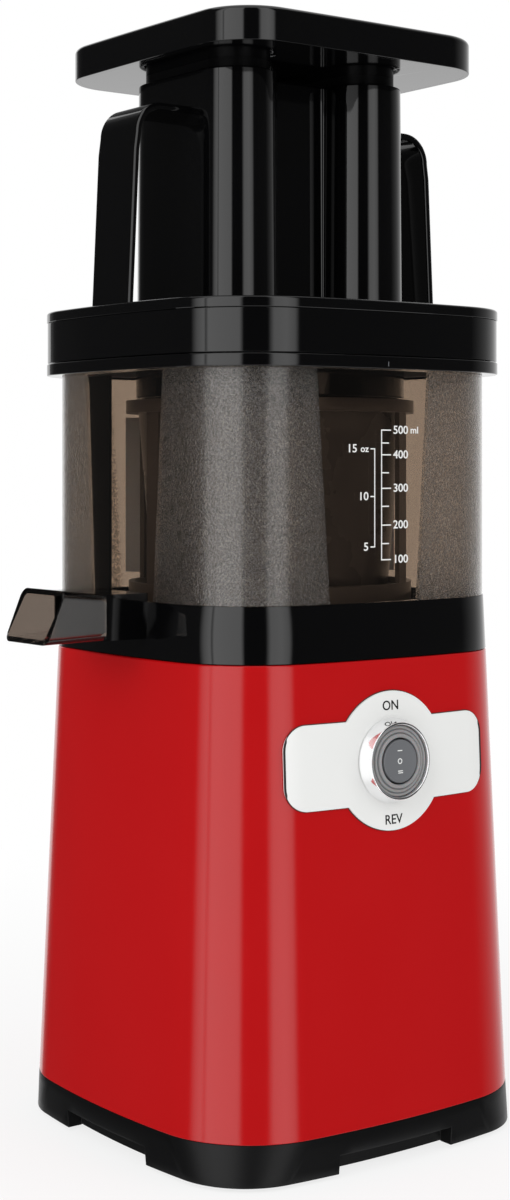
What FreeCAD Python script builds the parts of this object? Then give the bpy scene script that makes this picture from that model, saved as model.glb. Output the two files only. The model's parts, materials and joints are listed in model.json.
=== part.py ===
import FreeCAD
import Part
import Sketcher
import math
import os

doc = FreeCAD.newDocument("cold_press_juicer")
sheet = doc.addObject("Spreadsheet::Sheet", "sizes")
V = FreeCAD.Vector

# Driving dimensions in millimetres, z up from the surface the machine stands on.
DRIVING = {
    # red housing and tray
    "tray_low": 1.5, "tray_bottom_width": 157.0, "tray_bottom_corner": 31.0,
    "housing_low": 16.6, "housing_low_width": 160.0, "housing_low_corner": 41.0,
    "housing_top": 186.5, "housing_top_width": 145.5, "housing_top_corner": 35.5,
    "housing_wall": 2.8, "housing_lip": 2.5, "side_bulge": 400.0,
    "tray_wall": 2.6, "tray_floor_low": 8.5, "tray_floor_thick": 3.0,
    "notch_width": 54.0, "notch_depth": 6.0, "skirt_wall": 2.0, "skirt_rise": 0.3,
    "foot_radius": 8.0, "foot_place": 55.0,
    "post_radius": 5.0, "post_place": 48.0, "screw_radius": 1.7, "screw_head_radius": 3.4,
    "screw_head_thick": 2.0, "screw_length": 22.0,
    # deck, drive and gearbox
    "deck_thick": 6.0, "deck_boss_radius": 16.0, "deck_boss_height": 3.0,
    "shaft_radius": 8.0, "seal_radius": 12.0, "bearing_gap": 0.06,
    "hex_flats": 12.0, "shaft_top": 245.0, "shaft_socket_gap": 0.3,
    "gearbox_cover_thick": 6.0, "gearbox_low": 138.0, "gearbox_wall": 2.5, "gearbox_floor": 2.5,
    "gearbox_inner_radius": 28.5, "gearbox_screw_place": 34.0,
    "gear_module": 0.95, "pinion_teeth": 12, "wheel_teeth": 54, "gear_backlash": 0.2,
    "wheel_thick": 8.0, "output_thick": 10.0, "gear_gap": 1.5, "gear_pin_radius": 3.0,
    # motor
    "motor_radius": 23.0, "motor_wall": 2.0, "motor_length": 66.0, "magnet_thick": 5.0,
    "magnet_length": 44.0, "armature_radius": 15.0, "armature_length": 34.0,
    "motor_shaft_radius": 4.0, "pinion_shaft_radius": 3.0, "motor_bearing_radius": 8.0,
    "endcap_thick": 4.0, "commutator_radius": 8.0, "commutator_length": 9.0,
    "brush_size": 6.0, "fan_radius": 22.0, "fan_thick": 8.0, "fan_blades": 9,
    # control board and cord gland
    "board_width": 56.0, "board_depth": 36.0, "board_thick": 1.6, "board_low": 24.0, "board_place": 34.0,
    "gland_height": 32.0, "gland_radius": 6.0, "gland_bore": 3.6, "gland_length": 18.0,
    "gland_inside": 5.0, "gland_flange": 3.0, "gland_nut": 4.0, "gland_lean_gap": 0.4, "hole_gap": 0.1,
    # switch
    "switch_height": 149.0, "plate_thick": 0.8, "plate_gap": 0.05, "plate_disc_radius": 25.75,
    "wing_width": 95.0, "wing_height": 31.0, "wing_corner": 9.0,
    "bezel_radius": 15.8, "bezel_lip_radius": 13.9,
    "bezel_bore": 13.2, "bezel_depth": 5.2, "boot_inner_radius": 8.6, "rocker_radius": 8.0,
    "rocker_thick": 4.0, "switch_body_depth": 22.0,
    # bowl
    "seam": 0.3, "bowl_base_top": 207.6, "bowl_step": 1.75, "bowl_corner_step": 3.0,
    "bowl_wall": 3.0, "bowl_top": 294.1,
    "floor_low": 197.5, "floor_thick": 3.0, "rim_thick": 4.7,
    "lid_overhang": 6.5, "lid_corner_more": 8.0,
    # brush drive and strainer
    "ring_module": 1.5, "sun_teeth": 24, "idler_teeth": 20, "ring_teeth": 64, "ring_backlash": 0.25,
    "drive_gear_low": 200.8, "drive_gear_thick": 6.0, "idler_pin_radius": 3.0, "idler_pin_gap": 0.06,
    "pulp_post_radius": 10.5, "pulp_bore_radius": 8.0, "support_radius": 6.0,
    "strainer_low": 208.0, "strainer_low_radius": 46.0, "strainer_top": 279.0,
    "strainer_top_radius": 51.5, "strainer_wall": 1.8, "mesh_thick": 0.6, "mesh_gap": 0.1,
    "strainer_collar": 4.6,
    "strainer_plate": 2.5, "strainer_eye": 21.0, "window_count": 10, "window_width": 20.0,
    "brush_inner_radius": 53.2, "brush_wall": 2.2, "brush_top": 284.0, "brush_bars": 6,
    "brush_bar_width": 8.0, "brush_bar_inset": 0.2, "brush_lip": 5.0, "brush_lip_radius": 56.4,
    "blade_gap": 4.8, "blade_thick": 2.0,
    # auger
    "auger_low": 211.6, "auger_top": 292.0, "auger_gap": 1.5, "core_low_radius": 26.0,
    "core_top_radius": 15.0, "core_top": 296.0, "flight_pitch": 36.0, "flight_thick": 4.5,
    "auger_pin_radius": 5.0, "auger_pin_top": 310.0, "socket_radius": 10.5,
    # spouts
    "spout_tip": 112.5, "spout_mouth_width": 31.0, "spout_mouth_height": 19.6, "spout_root_width": 38.0,
    "spout_root_low": 194.0, "spout_root_top": 211.0, "spout_tip_low": 193.0, "spout_lean": 8.0,
    "spout_wall": 2.0, "spout_root_length": 16.7,
    "pulp_width": 26.0, "pulp_low": 188.6, "pulp_top": 197.5, "pulp_tip": 97.0, "pulp_wall": 2.0,
    # hopper
    "lid_top": 319.3, "lid_plate": 4.0, "lid_wall": 2.6, "skirt_depth": 4.0, "seal_thick": 2.4,
    "neck_radius": 52.6, "neck_wall": 2.4, "neck_low": 284.9,
    "chute_top": 409.0, "lobe_place": 31.1, "lobe_straight": 19.3, "lobe_radius": 15.8,
    "lobe_low_radius": 16.5, "lobe_wall": 2.0, "web_depth": 15.0, "web_wall": 2.4,
    "bearing_boss_radius": 9.0, "bearing_boss_low": 300.0,
    "handle_width": 25.5, "handle_thick": 2.9, "handle_low_reach": 76.2, "handle_top_reach": 72.5,
    "handle_top": 395.5, "handle_bend": 12.0,
    # pusher
    "pusher_gap": 3.8, "pusher_thick": 13.2, "pusher_width": 126.0, "pusher_corner": 22.7,
    "pusher_bulge": 2500.0, "pusher_wall": 2.2, "underplate_thick": 2.0,
    "plunger_gap": 0.8, "plunger_low": 325.0, "plunger_wall": 2.0, "plunger_screw_radius": 1.6,
}
for row, (name, number) in enumerate(DRIVING.items(), start=1):
    sheet.set("A%d" % row, name)
    sheet.set("B%d" % row, str(number))
    sheet.setAlias("B%d" % row, name)
doc.recompute()


class Size:
    """A number that remembers the spreadsheet expression it is worked out by."""

    def __init__(self, value, text):
        self.value = float(value)
        self.text = text

    def __float__(self):
        return self.value

    def __add__(self, other):
        return Size(self.value + float(other), "(%s + %s)" % (self.text, words(other)))

    def __radd__(self, other):
        return Size(float(other) + self.value, "(%s + %s)" % (words(other), self.text))

    def __sub__(self, other):
        return Size(self.value - float(other), "(%s - %s)" % (self.text, words(other)))

    def __rsub__(self, other):
        return Size(float(other) - self.value, "(%s - %s)" % (words(other), self.text))

    def __mul__(self, other):
        return Size(self.value * float(other), "(%s * %s)" % (self.text, words(other)))

    def __rmul__(self, other):
        return Size(float(other) * self.value, "(%s * %s)" % (words(other), self.text))

    def __truediv__(self, other):
        return Size(self.value / float(other), "(%s / %s)" % (self.text, words(other)))

    def __neg__(self):
        return Size(-self.value, "(0 - %s)" % self.text)


def words(size):
    return size.text if isinstance(size, Size) else "%.6f" % float(size)


def bind(thing, name, size):
    """Ties one property to the sheet, or sets it where the size is a plain number."""
    if isinstance(size, Size):
        thing.setExpression(name, size.text)
    else:
        thing.setExpression(name, "%.6f" % float(size))


class Sizes:
    def __getattr__(self, name):
        return Size(sheet.get(name), "sizes.%s" % name)


S = Sizes()
nodes = []
bowl_base_width = S.housing_top_width
bowl_base_corner = S.housing_top_corner
bowl_width = bowl_base_width - S.bowl_step * 2
bowl_corner = bowl_base_corner - S.bowl_corner_step
lid_width = bowl_width + S.lid_overhang * 2
lid_corner = bowl_corner + S.lid_corner_more
pusher_low = S.chute_top + S.pusher_gap
pusher_top = pusher_low + S.pusher_thick


def node(thing, label):
    """Names a finished sub-part."""
    thing.Label = label
    nodes.append(thing)
    return thing


# Part Design helpers

def new_body(label):
    body = doc.addObject("PartDesign::Body", label + "_body")
    body.Label = label
    return body


def new_sketch(body, name, plane="XY_Plane", offset=0.0):
    sketch = body.newObject("Sketcher::SketchObject", name)
    support = [f for f in body.Origin.OriginFeatures if f.Role == plane][0]
    sketch.AttachmentSupport = [(support, "")]
    sketch.MapMode = "FlatFace"
    bind(sketch, "AttachmentOffset.Base.z", offset)
    return sketch


def fix_point(sketch, curve, end, x, y):
    """Holds one point of a sketch curve at x, y from the origin."""
    for kind, place, axis in (("DistanceX", x, -2), ("DistanceY", y, -1)):
        if abs(float(place)) < 1e-9:
            sketch.addConstraint(Sketcher.Constraint("PointOnObject", curve, end, axis))
        else:
            index = sketch.addConstraint(Sketcher.Constraint(kind, -1, 1, curve, end, float(place)))
            bind(sketch, "Constraints[%d]" % index, place)


def fix_radius(sketch, curve, radius):
    index = sketch.addConstraint(Sketcher.Constraint("Radius", curve, float(radius)))
    bind(sketch, "Constraints[%d]" % index, radius)


def draw_circle(sketch, radius, x=0.0, y=0.0):
    curve = sketch.addGeometry(Part.Circle(V(float(x), float(y), 0), V(0, 0, 1), float(radius)))
    fix_radius(sketch, curve, radius)
    fix_point(sketch, curve, 3, x, y)


def draw_polygon(sketch, points):
    """Closed outline of straight lines through points that are tied to the sheet."""
    count = len(points)
    first = None
    for k, (x, y) in enumerate(points):
        x2, y2 = points[(k + 1) % count]
        line = Part.LineSegment(V(float(x), float(y), 0), V(float(x2), float(y2), 0))
        curve = sketch.addGeometry(line)
        first = curve if first is None else first
    for k, (x, y) in enumerate(points):
        following = first + (k + 1) % count
        sketch.addConstraint(Sketcher.Constraint("Coincident", first + k, 2, following, 1))
    for k, (x, y) in enumerate(points):
        fix_point(sketch, first + k, 1, x, y)


def draw_rectangle(sketch, x0, x1, y0, y1):
    draw_polygon(sketch, [(x0, y0), (x1, y0), (x1, y1), (x0, y1)])


def draw_rounded_square(sketch, width, corner, bulge):
    """Square of slightly bowed sides and round corners, centred on the origin."""
    half, r, big = float(width) / 2, float(corner), float(bulge)
    out = big - half
    c = (-out + math.sqrt(2 * (big - r) ** 2 - out ** 2)) / 2
    meet = math.atan2(-c - out, c)
    sides, corners = [], []
    for k in range(4):
        turn = k * math.pi / 2
        centre = V(-out * math.sin(turn), out * math.cos(turn), 0)
        a0, a1 = -math.pi - meet + turn, meet + turn
        arc = Part.ArcOfCircle(Part.Circle(centre, V(0, 0, 1), big), a0, a1)
        sides.append(sketch.addGeometry(arc))
        centre = V(c * math.cos(turn) + c * math.sin(turn), c * math.sin(turn) - c * math.cos(turn), 0)
        a0, a1 = meet + turn, -math.pi / 2 - meet + turn
        arc = Part.ArcOfCircle(Part.Circle(centre, V(0, 0, 1), r), a0, a1)
        corners.append(sketch.addGeometry(arc))
    for k in range(4):
        sketch.addConstraint(Sketcher.Constraint("Tangent", sides[k], 2, corners[k], 1))
        sketch.addConstraint(Sketcher.Constraint("Tangent", corners[k], 2, sides[(k + 1) % 4], 1))
    for k, (x, y) in enumerate(((0, 1), (-1, 0), (0, -1), (1, 0))):
        reach = bulge - width / 2
        fix_point(sketch, sides[k], 3, reach * x if x else 0.0, reach * y if y else 0.0)
        if k:
            sketch.addConstraint(Sketcher.Constraint("Equal", sides[0], sides[k]))
            sketch.addConstraint(Sketcher.Constraint("Equal", corners[0], corners[k]))
    fix_radius(sketch, sides[0], bulge)
    fix_radius(sketch, corners[0], corner)


def draw_slot(sketch, x, straight, radius):
    """Oblong along Y about (x, 0): straight runs of half length straight, round ends."""
    cx, s, r = float(x), float(straight), float(radius)
    top = sketch.addGeometry(Part.ArcOfCircle(Part.Circle(V(cx, s, 0), V(0, 0, 1), r), 0, math.pi))
    low_circle = Part.Circle(V(cx, -s, 0), V(0, 0, 1), r)
    low = sketch.addGeometry(Part.ArcOfCircle(low_circle, math.pi, 2 * math.pi))
    left = sketch.addGeometry(Part.LineSegment(V(cx - r, s, 0), V(cx - r, -s, 0)))
    right = sketch.addGeometry(Part.LineSegment(V(cx + r, -s, 0), V(cx + r, s, 0)))
    sketch.addConstraint(Sketcher.Constraint("Tangent", top, 2, left, 1))
    sketch.addConstraint(Sketcher.Constraint("Tangent", left, 2, low, 1))
    sketch.addConstraint(Sketcher.Constraint("Tangent", low, 2, right, 1))
    sketch.addConstraint(Sketcher.Constraint("Tangent", right, 2, top, 1))
    fix_point(sketch, top, 3, x, straight)
    fix_point(sketch, low, 3, x, -straight)
    fix_radius(sketch, top, radius)


def add_feature(body, kind, name, profile, sections=None, length=None, reverse=False, ruled=False):
    feature = body.newObject("PartDesign::" + kind, name)
    feature.Profile = profile
    if sections:
        feature.Sections = sections
        feature.Ruled = ruled
    if length is not None:
        bind(feature, "Length", length)
        feature.Reversed = reverse
    profile.Visibility = False
    return feature


def square_loft(body, name, levels, bulge, take_away=False):
    """Loft through rounded squares given as (height, width, corner)."""
    sketches = []
    for k, (height, width, corner) in enumerate(levels):
        sketch = new_sketch(body, "%s_level_%d" % (name, k), offset=height)
        draw_rounded_square(sketch, width, corner, bulge)
        sketches.append(sketch)
    kind = "SubtractiveLoft" if take_away else "AdditiveLoft"
    return add_feature(body, kind, name, sketches[0], sections=sketches[1:], ruled=True)


def cut_down(body, name, sketch, depth):
    """Pocket from the sketch plane downwards."""
    return add_feature(body, "Pocket", name, sketch, length=depth)


def cut_up(body, name, sketch, depth):
    """Pocket from the sketch plane upwards."""
    return add_feature(body, "Pocket", name, sketch, length=depth, reverse=True)


def pad_up(body, name, sketch, height):
    return add_feature(body, "Pad", name, sketch, length=height)


# Part helpers

def place(thing, x=0.0, y=0.0, z=0.0):
    bind(thing, "Placement.Base.x", x)
    bind(thing, "Placement.Base.y", y)
    bind(thing, "Placement.Base.z", z)
    return thing


def cylinder(radius, height, x=0.0, y=0.0, z=0.0):
    thing = doc.addObject("Part::Cylinder", "cylinder")
    bind(thing, "Radius", radius)
    bind(thing, "Height", height)
    return place(thing, x, y, z)


def cone(low_radius, top_radius, height, x=0.0, y=0.0, z=0.0):
    thing = doc.addObject("Part::Cone", "cone")
    bind(thing, "Radius1", low_radius)
    bind(thing, "Radius2", top_radius)
    bind(thing, "Height", height)
    return place(thing, x, y, z)


def box(x0, x1, y0, y1, z0, z1):
    thing = doc.addObject("Part::Box", "box")
    bind(thing, "Length", x1 - x0)
    bind(thing, "Width", y1 - y0)
    bind(thing, "Height", z1 - z0)
    return place(thing, x0, y0, z0)


def tube(outer, inner, low, top, x=0.0, y=0.0):
    return cut(cylinder(outer, top - low, x, y, low), cylinder(inner, top - low, x, y, low))


def fuse(*things):
    if len(things) == 1:
        return things[0]
    joined = doc.addObject("Part::MultiFuse", "joined")
    joined.Shapes = list(things)
    return joined


def cut(base, *tools):
    less = doc.addObject("Part::Cut", "less")
    less.Base = base
    less.Tool = fuse(*tools)
    return less


def common(first, second):
    both = doc.addObject("Part::Common", "both")
    both.Base = first
    both.Tool = second
    return both


def prism(sides, radius, height, z=0.0):
    thing = doc.addObject("Part::Prism", "prism")
    thing.Polygon = sides
    bind(thing, "Circumradius", radius)
    bind(thing, "Height", height)
    return place(thing, 0.0, 0.0, z)


def group(*things):
    kept = doc.addObject("Part::Compound", "set")
    kept.Links = list(things)
    return kept


def at_corners(reach):
    return [(x * reach, y * reach) for x in (-1, 1) for y in (-1, 1)]


# Base

def housing_width(height):
    """Outer width of the red housing at a height, along its straight taper."""
    share = (height - S.housing_low) / (S.housing_top - S.housing_low)
    return S.housing_low_width + (S.housing_top_width - S.housing_low_width) * share


def housing_corner(height):
    share = (height - S.housing_low) / (S.housing_top - S.housing_low)
    return S.housing_low_corner + (S.housing_top_corner - S.housing_low_corner) * share


def housing_level(height, inset):
    """One rounded square of the housing at a height, drawn in all round by inset."""
    return (height, housing_width(height) - inset * 2, housing_corner(height) - inset)


switch_out = housing_width(S.switch_height) / 2
switch_tilt = math.atan((float(S.housing_low_width) - float(S.housing_top_width)) / 2
                        / (float(S.housing_top) - float(S.housing_low)))
deck_top = S.housing_top - S.housing_lip
deck_low = deck_top - S.deck_thick
cover_low = deck_low - S.gearbox_cover_thick
tray_floor_top = S.tray_floor_low + S.tray_floor_thick
gear_reach = S.gear_module * (S.pinion_teeth + S.wheel_teeth) / 2
gland_out = housing_width(S.gland_height) / 2


def along_y(thing, z, y, outward=-1):
    """Turns a part built up Z so that it points along Y, and stands it at y, z."""
    turn = FreeCAD.Rotation(V(1, 0, 0), 90 if outward < 0 else -90)
    thing.Placement = FreeCAD.Placement(V(0, float(y), float(z)), turn)
    return thing


def make_base_housing():
    body = new_body("base_housing")
    ends = [housing_level(S.housing_low, 0.0), housing_level(S.housing_top, 0.0)]
    square_loft(body, "housing_outside", ends, S.side_bulge)
    inside = [housing_level(S.housing_low, S.housing_wall), housing_level(deck_top, S.housing_wall)]
    square_loft(body, "housing_inside", inside, S.side_bulge, take_away=True)
    mouth = new_sketch(body, "housing_mouth", offset=S.housing_top)
    draw_rounded_square(mouth, housing_width(S.housing_top) - S.housing_wall * 2 - S.housing_lip * 2,
                        housing_corner(S.housing_top) - S.housing_wall - S.housing_lip, S.side_bulge)
    cut_down(body, "housing_mouth_cut", mouth, S.housing_lip)
    hole = new_sketch(body, "switch_hole", plane="XZ_Plane")
    draw_circle(hole, S.bezel_bore + 0.4, 0.0, S.switch_height)
    add_feature(body, "Pocket", "switch_hole_cut", hole, length=S.housing_low_width, reverse=True)
    gland_hole = new_sketch(body, "gland_hole", plane="XZ_Plane")
    draw_circle(gland_hole, S.gland_radius + S.hole_gap, 0.0, S.gland_height)
    add_feature(body, "Pocket", "gland_hole_cut", gland_hole, length=S.housing_low_width)
    return body


def make_base_tray():
    body = new_body("base_tray")
    wall = S.tray_wall
    levels = [(S.tray_low, S.tray_bottom_width, S.tray_bottom_corner),
              (S.housing_low, S.housing_low_width, S.housing_low_corner)]
    square_loft(body, "tray_outside", levels, S.side_bulge)
    top = new_sketch(body, "tray_inside", offset=S.housing_low)
    draw_rounded_square(top, S.tray_bottom_width - wall * 2, S.tray_bottom_corner - wall, S.side_bulge)
    cut_down(body, "tray_inside_cut", top, S.housing_low - tray_floor_top)
    under = new_sketch(body, "tray_under", offset=S.tray_low)
    draw_rounded_square(under, S.tray_bottom_width - S.notch_depth * 2,
                        S.tray_bottom_corner - S.notch_depth, S.side_bulge)
    cut_up(body, "tray_under_cut", under, S.tray_floor_low - S.tray_low)
    half = S.notch_width / 2
    for name, plane in (("x", "YZ_Plane"), ("y", "XZ_Plane")):
        notch = new_sketch(body, "tray_notch_" + name, plane=plane, offset=-S.housing_low_width)
        draw_rectangle(notch, -half, half, S.tray_low - 1, S.tray_floor_low)
        add_feature(body, "Pocket", "tray_notch_%s_cut" % name, notch,
                    length=S.housing_low_width * 2, reverse=True)
    skirt = new_sketch(body, "tray_skirt", offset=S.tray_low + S.skirt_rise)
    width, corner = S.tray_bottom_width - S.notch_depth * 2, S.tray_bottom_corner - S.notch_depth
    draw_rounded_square(skirt, width, corner, S.side_bulge)
    draw_rounded_square(skirt, width - S.skirt_wall * 2, corner - S.skirt_wall, S.side_bulge)
    pad_up(body, "tray_skirt_pad", skirt, S.tray_floor_low - S.tray_low - S.skirt_rise)
    holes = new_sketch(body, "tray_screw_holes", offset=S.tray_low)
    for x, y in at_corners(S.post_place):
        draw_circle(holes, S.screw_radius + 0.1, x, y)
    cut_up(body, "tray_screw_cut", holes, S.housing_low)
    return body


def make_top_deck():
    body = new_body("top_deck")
    plate = new_sketch(body, "deck_outline", offset=deck_low)
    level = housing_level(deck_top, S.housing_wall + S.seam)
    draw_rounded_square(plate, level[1], level[2], S.side_bulge)
    pad_up(body, "deck_plate", plate, S.deck_thick)
    boss = new_sketch(body, "deck_boss", offset=deck_low)
    draw_circle(boss, S.deck_boss_radius)
    pad_up(body, "deck_boss_pad", boss, S.deck_thick + S.deck_boss_height)
    posts = new_sketch(body, "deck_posts", offset=tray_floor_top)
    for x, y in at_corners(S.post_place):
        draw_circle(posts, S.post_radius, x, y)
    pad_up(body, "deck_posts_pad", posts, deck_low - tray_floor_top)
    bore = new_sketch(body, "deck_bore", offset=deck_low)
    draw_circle(bore, S.seal_radius)
    cut_up(body, "deck_bore_cut", bore, S.deck_thick + S.deck_boss_height)
    holes = new_sketch(body, "deck_post_holes", offset=tray_floor_top)
    for x, y in at_corners(S.post_place):
        draw_circle(holes, S.screw_radius + 0.1, x, y)
    cut_up(body, "deck_post_hole_cut", holes, S.screw_length)
    screws = new_sketch(body, "deck_gearbox_holes", offset=deck_low)
    for x, y in gearbox_screw_places():
        draw_circle(screws, S.screw_radius + 0.1, x, y)
    cut_up(body, "deck_gearbox_hole_cut", screws, S.deck_thick - 1)
    return body


def make_foot(x, y):
    """Round rubber foot: a disc below the tray and a stem up to its floor."""
    disc = cylinder(S.foot_radius, S.tray_low, x, y, 0.0)
    stem = cylinder(S.foot_radius - 2, S.tray_floor_low - S.tray_low, x, y, S.tray_low)
    return fuse(disc, stem)


def screw(x, y, head_low, length):
    head = cylinder(S.screw_head_radius, S.screw_head_thick, x, y, head_low - S.screw_head_thick)
    shank = cylinder(S.screw_radius, length, x, y, head_low)
    return fuse(head, shank)


# Gearbox and motor

def gearbox_screw_places():
    return [(x, y * S.gearbox_screw_place) for x in (0.0, gear_reach) for y in (-1, 1)]


def gearbox_block(radius, low, top):
    """Oblong block round the output gear and the reduction gear."""
    return fuse(cylinder(radius, top - low, 0.0, 0.0, low), cylinder(radius, top - low, gear_reach, 0.0, low),
                box(0.0, gear_reach, -radius, radius, low, top))


def gearbox_ears(low, top):
    return [cylinder(S.screw_head_radius + 1, top - low, x, y, low) for x, y in gearbox_screw_places()]


def gearbox_holes(low, top):
    return [cylinder(S.screw_radius + 0.1, top - low, x, y, low) for x, y in gearbox_screw_places()]


def make_gearbox_housing():
    low, outer = S.gearbox_low, S.gearbox_inner_radius + S.gearbox_wall
    solid = fuse(gearbox_block(outer, low, cover_low), *gearbox_ears(low, cover_low))
    hollow = gearbox_block(S.gearbox_inner_radius, low + S.gearbox_floor, cover_low)
    hole = cylinder(S.motor_shaft_radius + 1, S.gearbox_floor, 0.0, 0.0, low)
    pin = cylinder(S.gear_pin_radius, S.gearbox_floor, gear_reach, 0.0, low)
    return cut(solid, hollow, hole, pin, *gearbox_holes(low, cover_low))


def make_gearbox_cover():
    outer = S.gearbox_inner_radius + S.gearbox_wall
    solid = fuse(gearbox_block(outer, cover_low, deck_low), *gearbox_ears(cover_low, deck_low))
    bore = cylinder(S.seal_radius, S.gearbox_cover_thick, 0.0, 0.0, cover_low)
    pin = cylinder(S.gear_pin_radius, S.gearbox_cover_thick / 2, gear_reach, 0.0, cover_low)
    return cut(solid, bore, pin, *gearbox_holes(cover_low, deck_low))


STUB_TOP = 0.8
STUB_ROOT = 1.1
PRESSURE_ANGLE = math.radians(20)
FLANK_STEPS = 3


def gear_outline(teeth, module, thinning, first_angle, top=STUB_TOP, root=STUB_ROOT):
    """Points of a stub involute gear with one tooth at first_angle, its teeth thinned at the pitch."""
    pitch = teeth * module / 2
    base = pitch * math.cos(PRESSURE_ANGLE)
    tip_radius, root_radius = pitch + top * module, pitch - root * module
    half = math.pi / (2 * teeth) - thinning / (2 * pitch)

    def turn_at(radius):
        angle = math.acos(min(1.0, base / radius))
        flat = math.tan(PRESSURE_ANGLE) - PRESSURE_ANGLE
        return half + flat - (math.tan(angle) - angle)

    start = max(base, root_radius)
    steps = [start + (tip_radius - start) * k / FLANK_STEPS for k in range(FLANK_STEPS + 1)]
    flank = [(r, turn_at(r)) for r in steps]
    if root_radius < start:
        flank.insert(0, (root_radius, turn_at(start)))
    points = []
    for tooth in range(teeth):
        middle = first_angle + 2 * math.pi * tooth / teeth
        points += [(r, middle - turn) for r, turn in flank]
        points += [(r, middle + turn) for r, turn in reversed(flank)]
    return [V(r * math.cos(a), r * math.sin(a), 0) for r, a in points]


def gear_solid(points, x, y, low, thick):
    face = Part.Face(Part.makePolygon(points + points[:1]))
    solid = face.extrude(V(0, 0, float(thick)))
    solid.translate(V(float(x), float(y), float(low)))
    return solid


def plain_cylinder(radius, low, top, x=0.0, y=0.0):
    return Part.makeCylinder(float(radius), float(top) - float(low), V(float(x), float(y), float(low)))


def plain_feature(name, shape):
    thing = doc.addObject("Part::Feature", name)
    thing.Shape = shape
    return thing


wheel_low = S.gearbox_low + S.gearbox_floor + S.gear_gap
wheel_top = wheel_low + S.wheel_thick
output_low = wheel_top + S.gear_gap * 2
output_top = output_low + S.output_thick
motor_low = S.gearbox_low - S.motor_length
bearing_thick = S.endcap_thick + 1
MODULE = float(S.gear_module)
PINION = int(float(S.pinion_teeth))
WHEEL = int(float(S.wheel_teeth))
THIN = float(S.gear_backlash)


def make_motor_pinion():
    points = gear_outline(PINION, MODULE, THIN, 0.0)
    gear = gear_solid(points, 0, 0, wheel_low - 1, S.wheel_thick + 2)
    bore = plain_cylinder(S.pinion_shaft_radius, wheel_low - 1, wheel_top + 1)
    return plain_feature("motor_pinion", gear.cut(bore))


def make_reduction_gear():
    wheel_points = gear_outline(WHEEL, MODULE, THIN, math.pi / WHEEL)
    wheel = gear_solid(wheel_points, gear_reach, 0, wheel_low, S.wheel_thick)
    pinion = gear_solid(gear_outline(PINION, MODULE, THIN, math.pi / PINION), gear_reach, 0, wheel_top,
                        output_top + 1 - wheel_top)
    bore = plain_cylinder(S.gear_pin_radius + S.bearing_gap, wheel_low, output_top + 1, gear_reach)
    return plain_feature("reduction_gear", wheel.fuse(pinion).cut(bore).removeSplitter())


def make_output_gear():
    gear = gear_solid(gear_outline(WHEEL, MODULE, THIN, 0.0), 0, 0, output_low, S.output_thick)
    return plain_feature("output_gear", gear.cut(plain_cylinder(S.shaft_radius, output_low, output_top)))


def make_drive_shaft():
    low = output_low - 2
    round_part = cylinder(S.shaft_radius, S.housing_top - 0.5 - low, 0.0, 0.0, low)
    hexagon = prism(6, S.hex_flats / math.sqrt(3), S.shaft_top - S.housing_top + 0.5, S.housing_top - 0.5)
    return fuse(round_part, hexagon)


def make_motor_can():
    can = cylinder(S.motor_radius, S.motor_length, 0.0, 0.0, motor_low)
    inside = cylinder(S.motor_radius - S.motor_wall, S.motor_length - bearing_thick, 0.0, 0.0, motor_low)
    hole = cylinder(S.motor_bearing_radius, bearing_thick, 0.0, 0.0, S.gearbox_low - bearing_thick)
    return cut(can, inside, hole)


def make_motor_magnets():
    outer = S.motor_radius - S.motor_wall
    low = motor_low + 12
    ring = tube(outer, outer - S.magnet_thick, low, low + S.magnet_length)
    gap = box(-outer / 3, outer / 3, -outer, outer, low, low + S.magnet_length)
    return cut(ring, gap)


def make_motor_endcap():
    low = motor_low - S.endcap_thick
    disc = cylinder(S.motor_radius, S.endcap_thick, 0.0, 0.0, low)
    half = S.brush_size / 2
    near, far = S.commutator_radius + 0.6, S.motor_radius - S.motor_wall - 1.2
    slot_low = motor_low + 3
    towers, slots = [], []
    for side in (-1, 1):
        x0, x1 = (near, far) if side > 0 else (-far, -near)
        towers.append(box(x0, x1, -half - 1.5, half + 1.5, motor_low, slot_low + S.brush_size + 1.5))
        slots.append(box(x0, x1, -half, half, slot_low, slot_low + S.brush_size))
    hole = cylinder(S.motor_bearing_radius, S.endcap_thick, 0.0, 0.0, low)
    return cut(fuse(disc, *towers), hole, *slots)


def make_carbon_brushes():
    half = S.brush_size / 2
    near, far = S.commutator_radius + 0.1, S.motor_radius - S.motor_wall - 4
    low = motor_low + 3
    return group(box(near, far, -half, half, low, low + S.brush_size),
                 box(-far, -near, -half, half, low, low + S.brush_size))


def make_motor_bearings():
    inner = S.motor_shaft_radius + S.bearing_gap
    upper = tube(S.motor_bearing_radius, inner, S.gearbox_low - bearing_thick, S.gearbox_low)
    lower = tube(S.motor_bearing_radius, inner, motor_low - S.endcap_thick, motor_low)
    return group(upper, lower)


def make_armature():
    fan_low = motor_low - S.endcap_thick - S.fan_thick - 2
    shaft = cylinder(S.motor_shaft_radius, S.gearbox_low + 1 - fan_low, 0.0, 0.0, fan_low)
    tail = cylinder(S.pinion_shaft_radius, wheel_top - S.gearbox_low, 0.0, 0.0, S.gearbox_low + 1)
    low = motor_low + 20
    core = cylinder(S.armature_radius, S.armature_length, 0.0, 0.0, low)
    coil = cylinder(S.armature_radius - 2, S.armature_length + 8, 0.0, 0.0, low - 4)
    return fuse(shaft, tail, core, coil)


def make_commutator():
    low = motor_low + 2
    return tube(S.commutator_radius, S.motor_shaft_radius, low, low + S.commutator_length)


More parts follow.
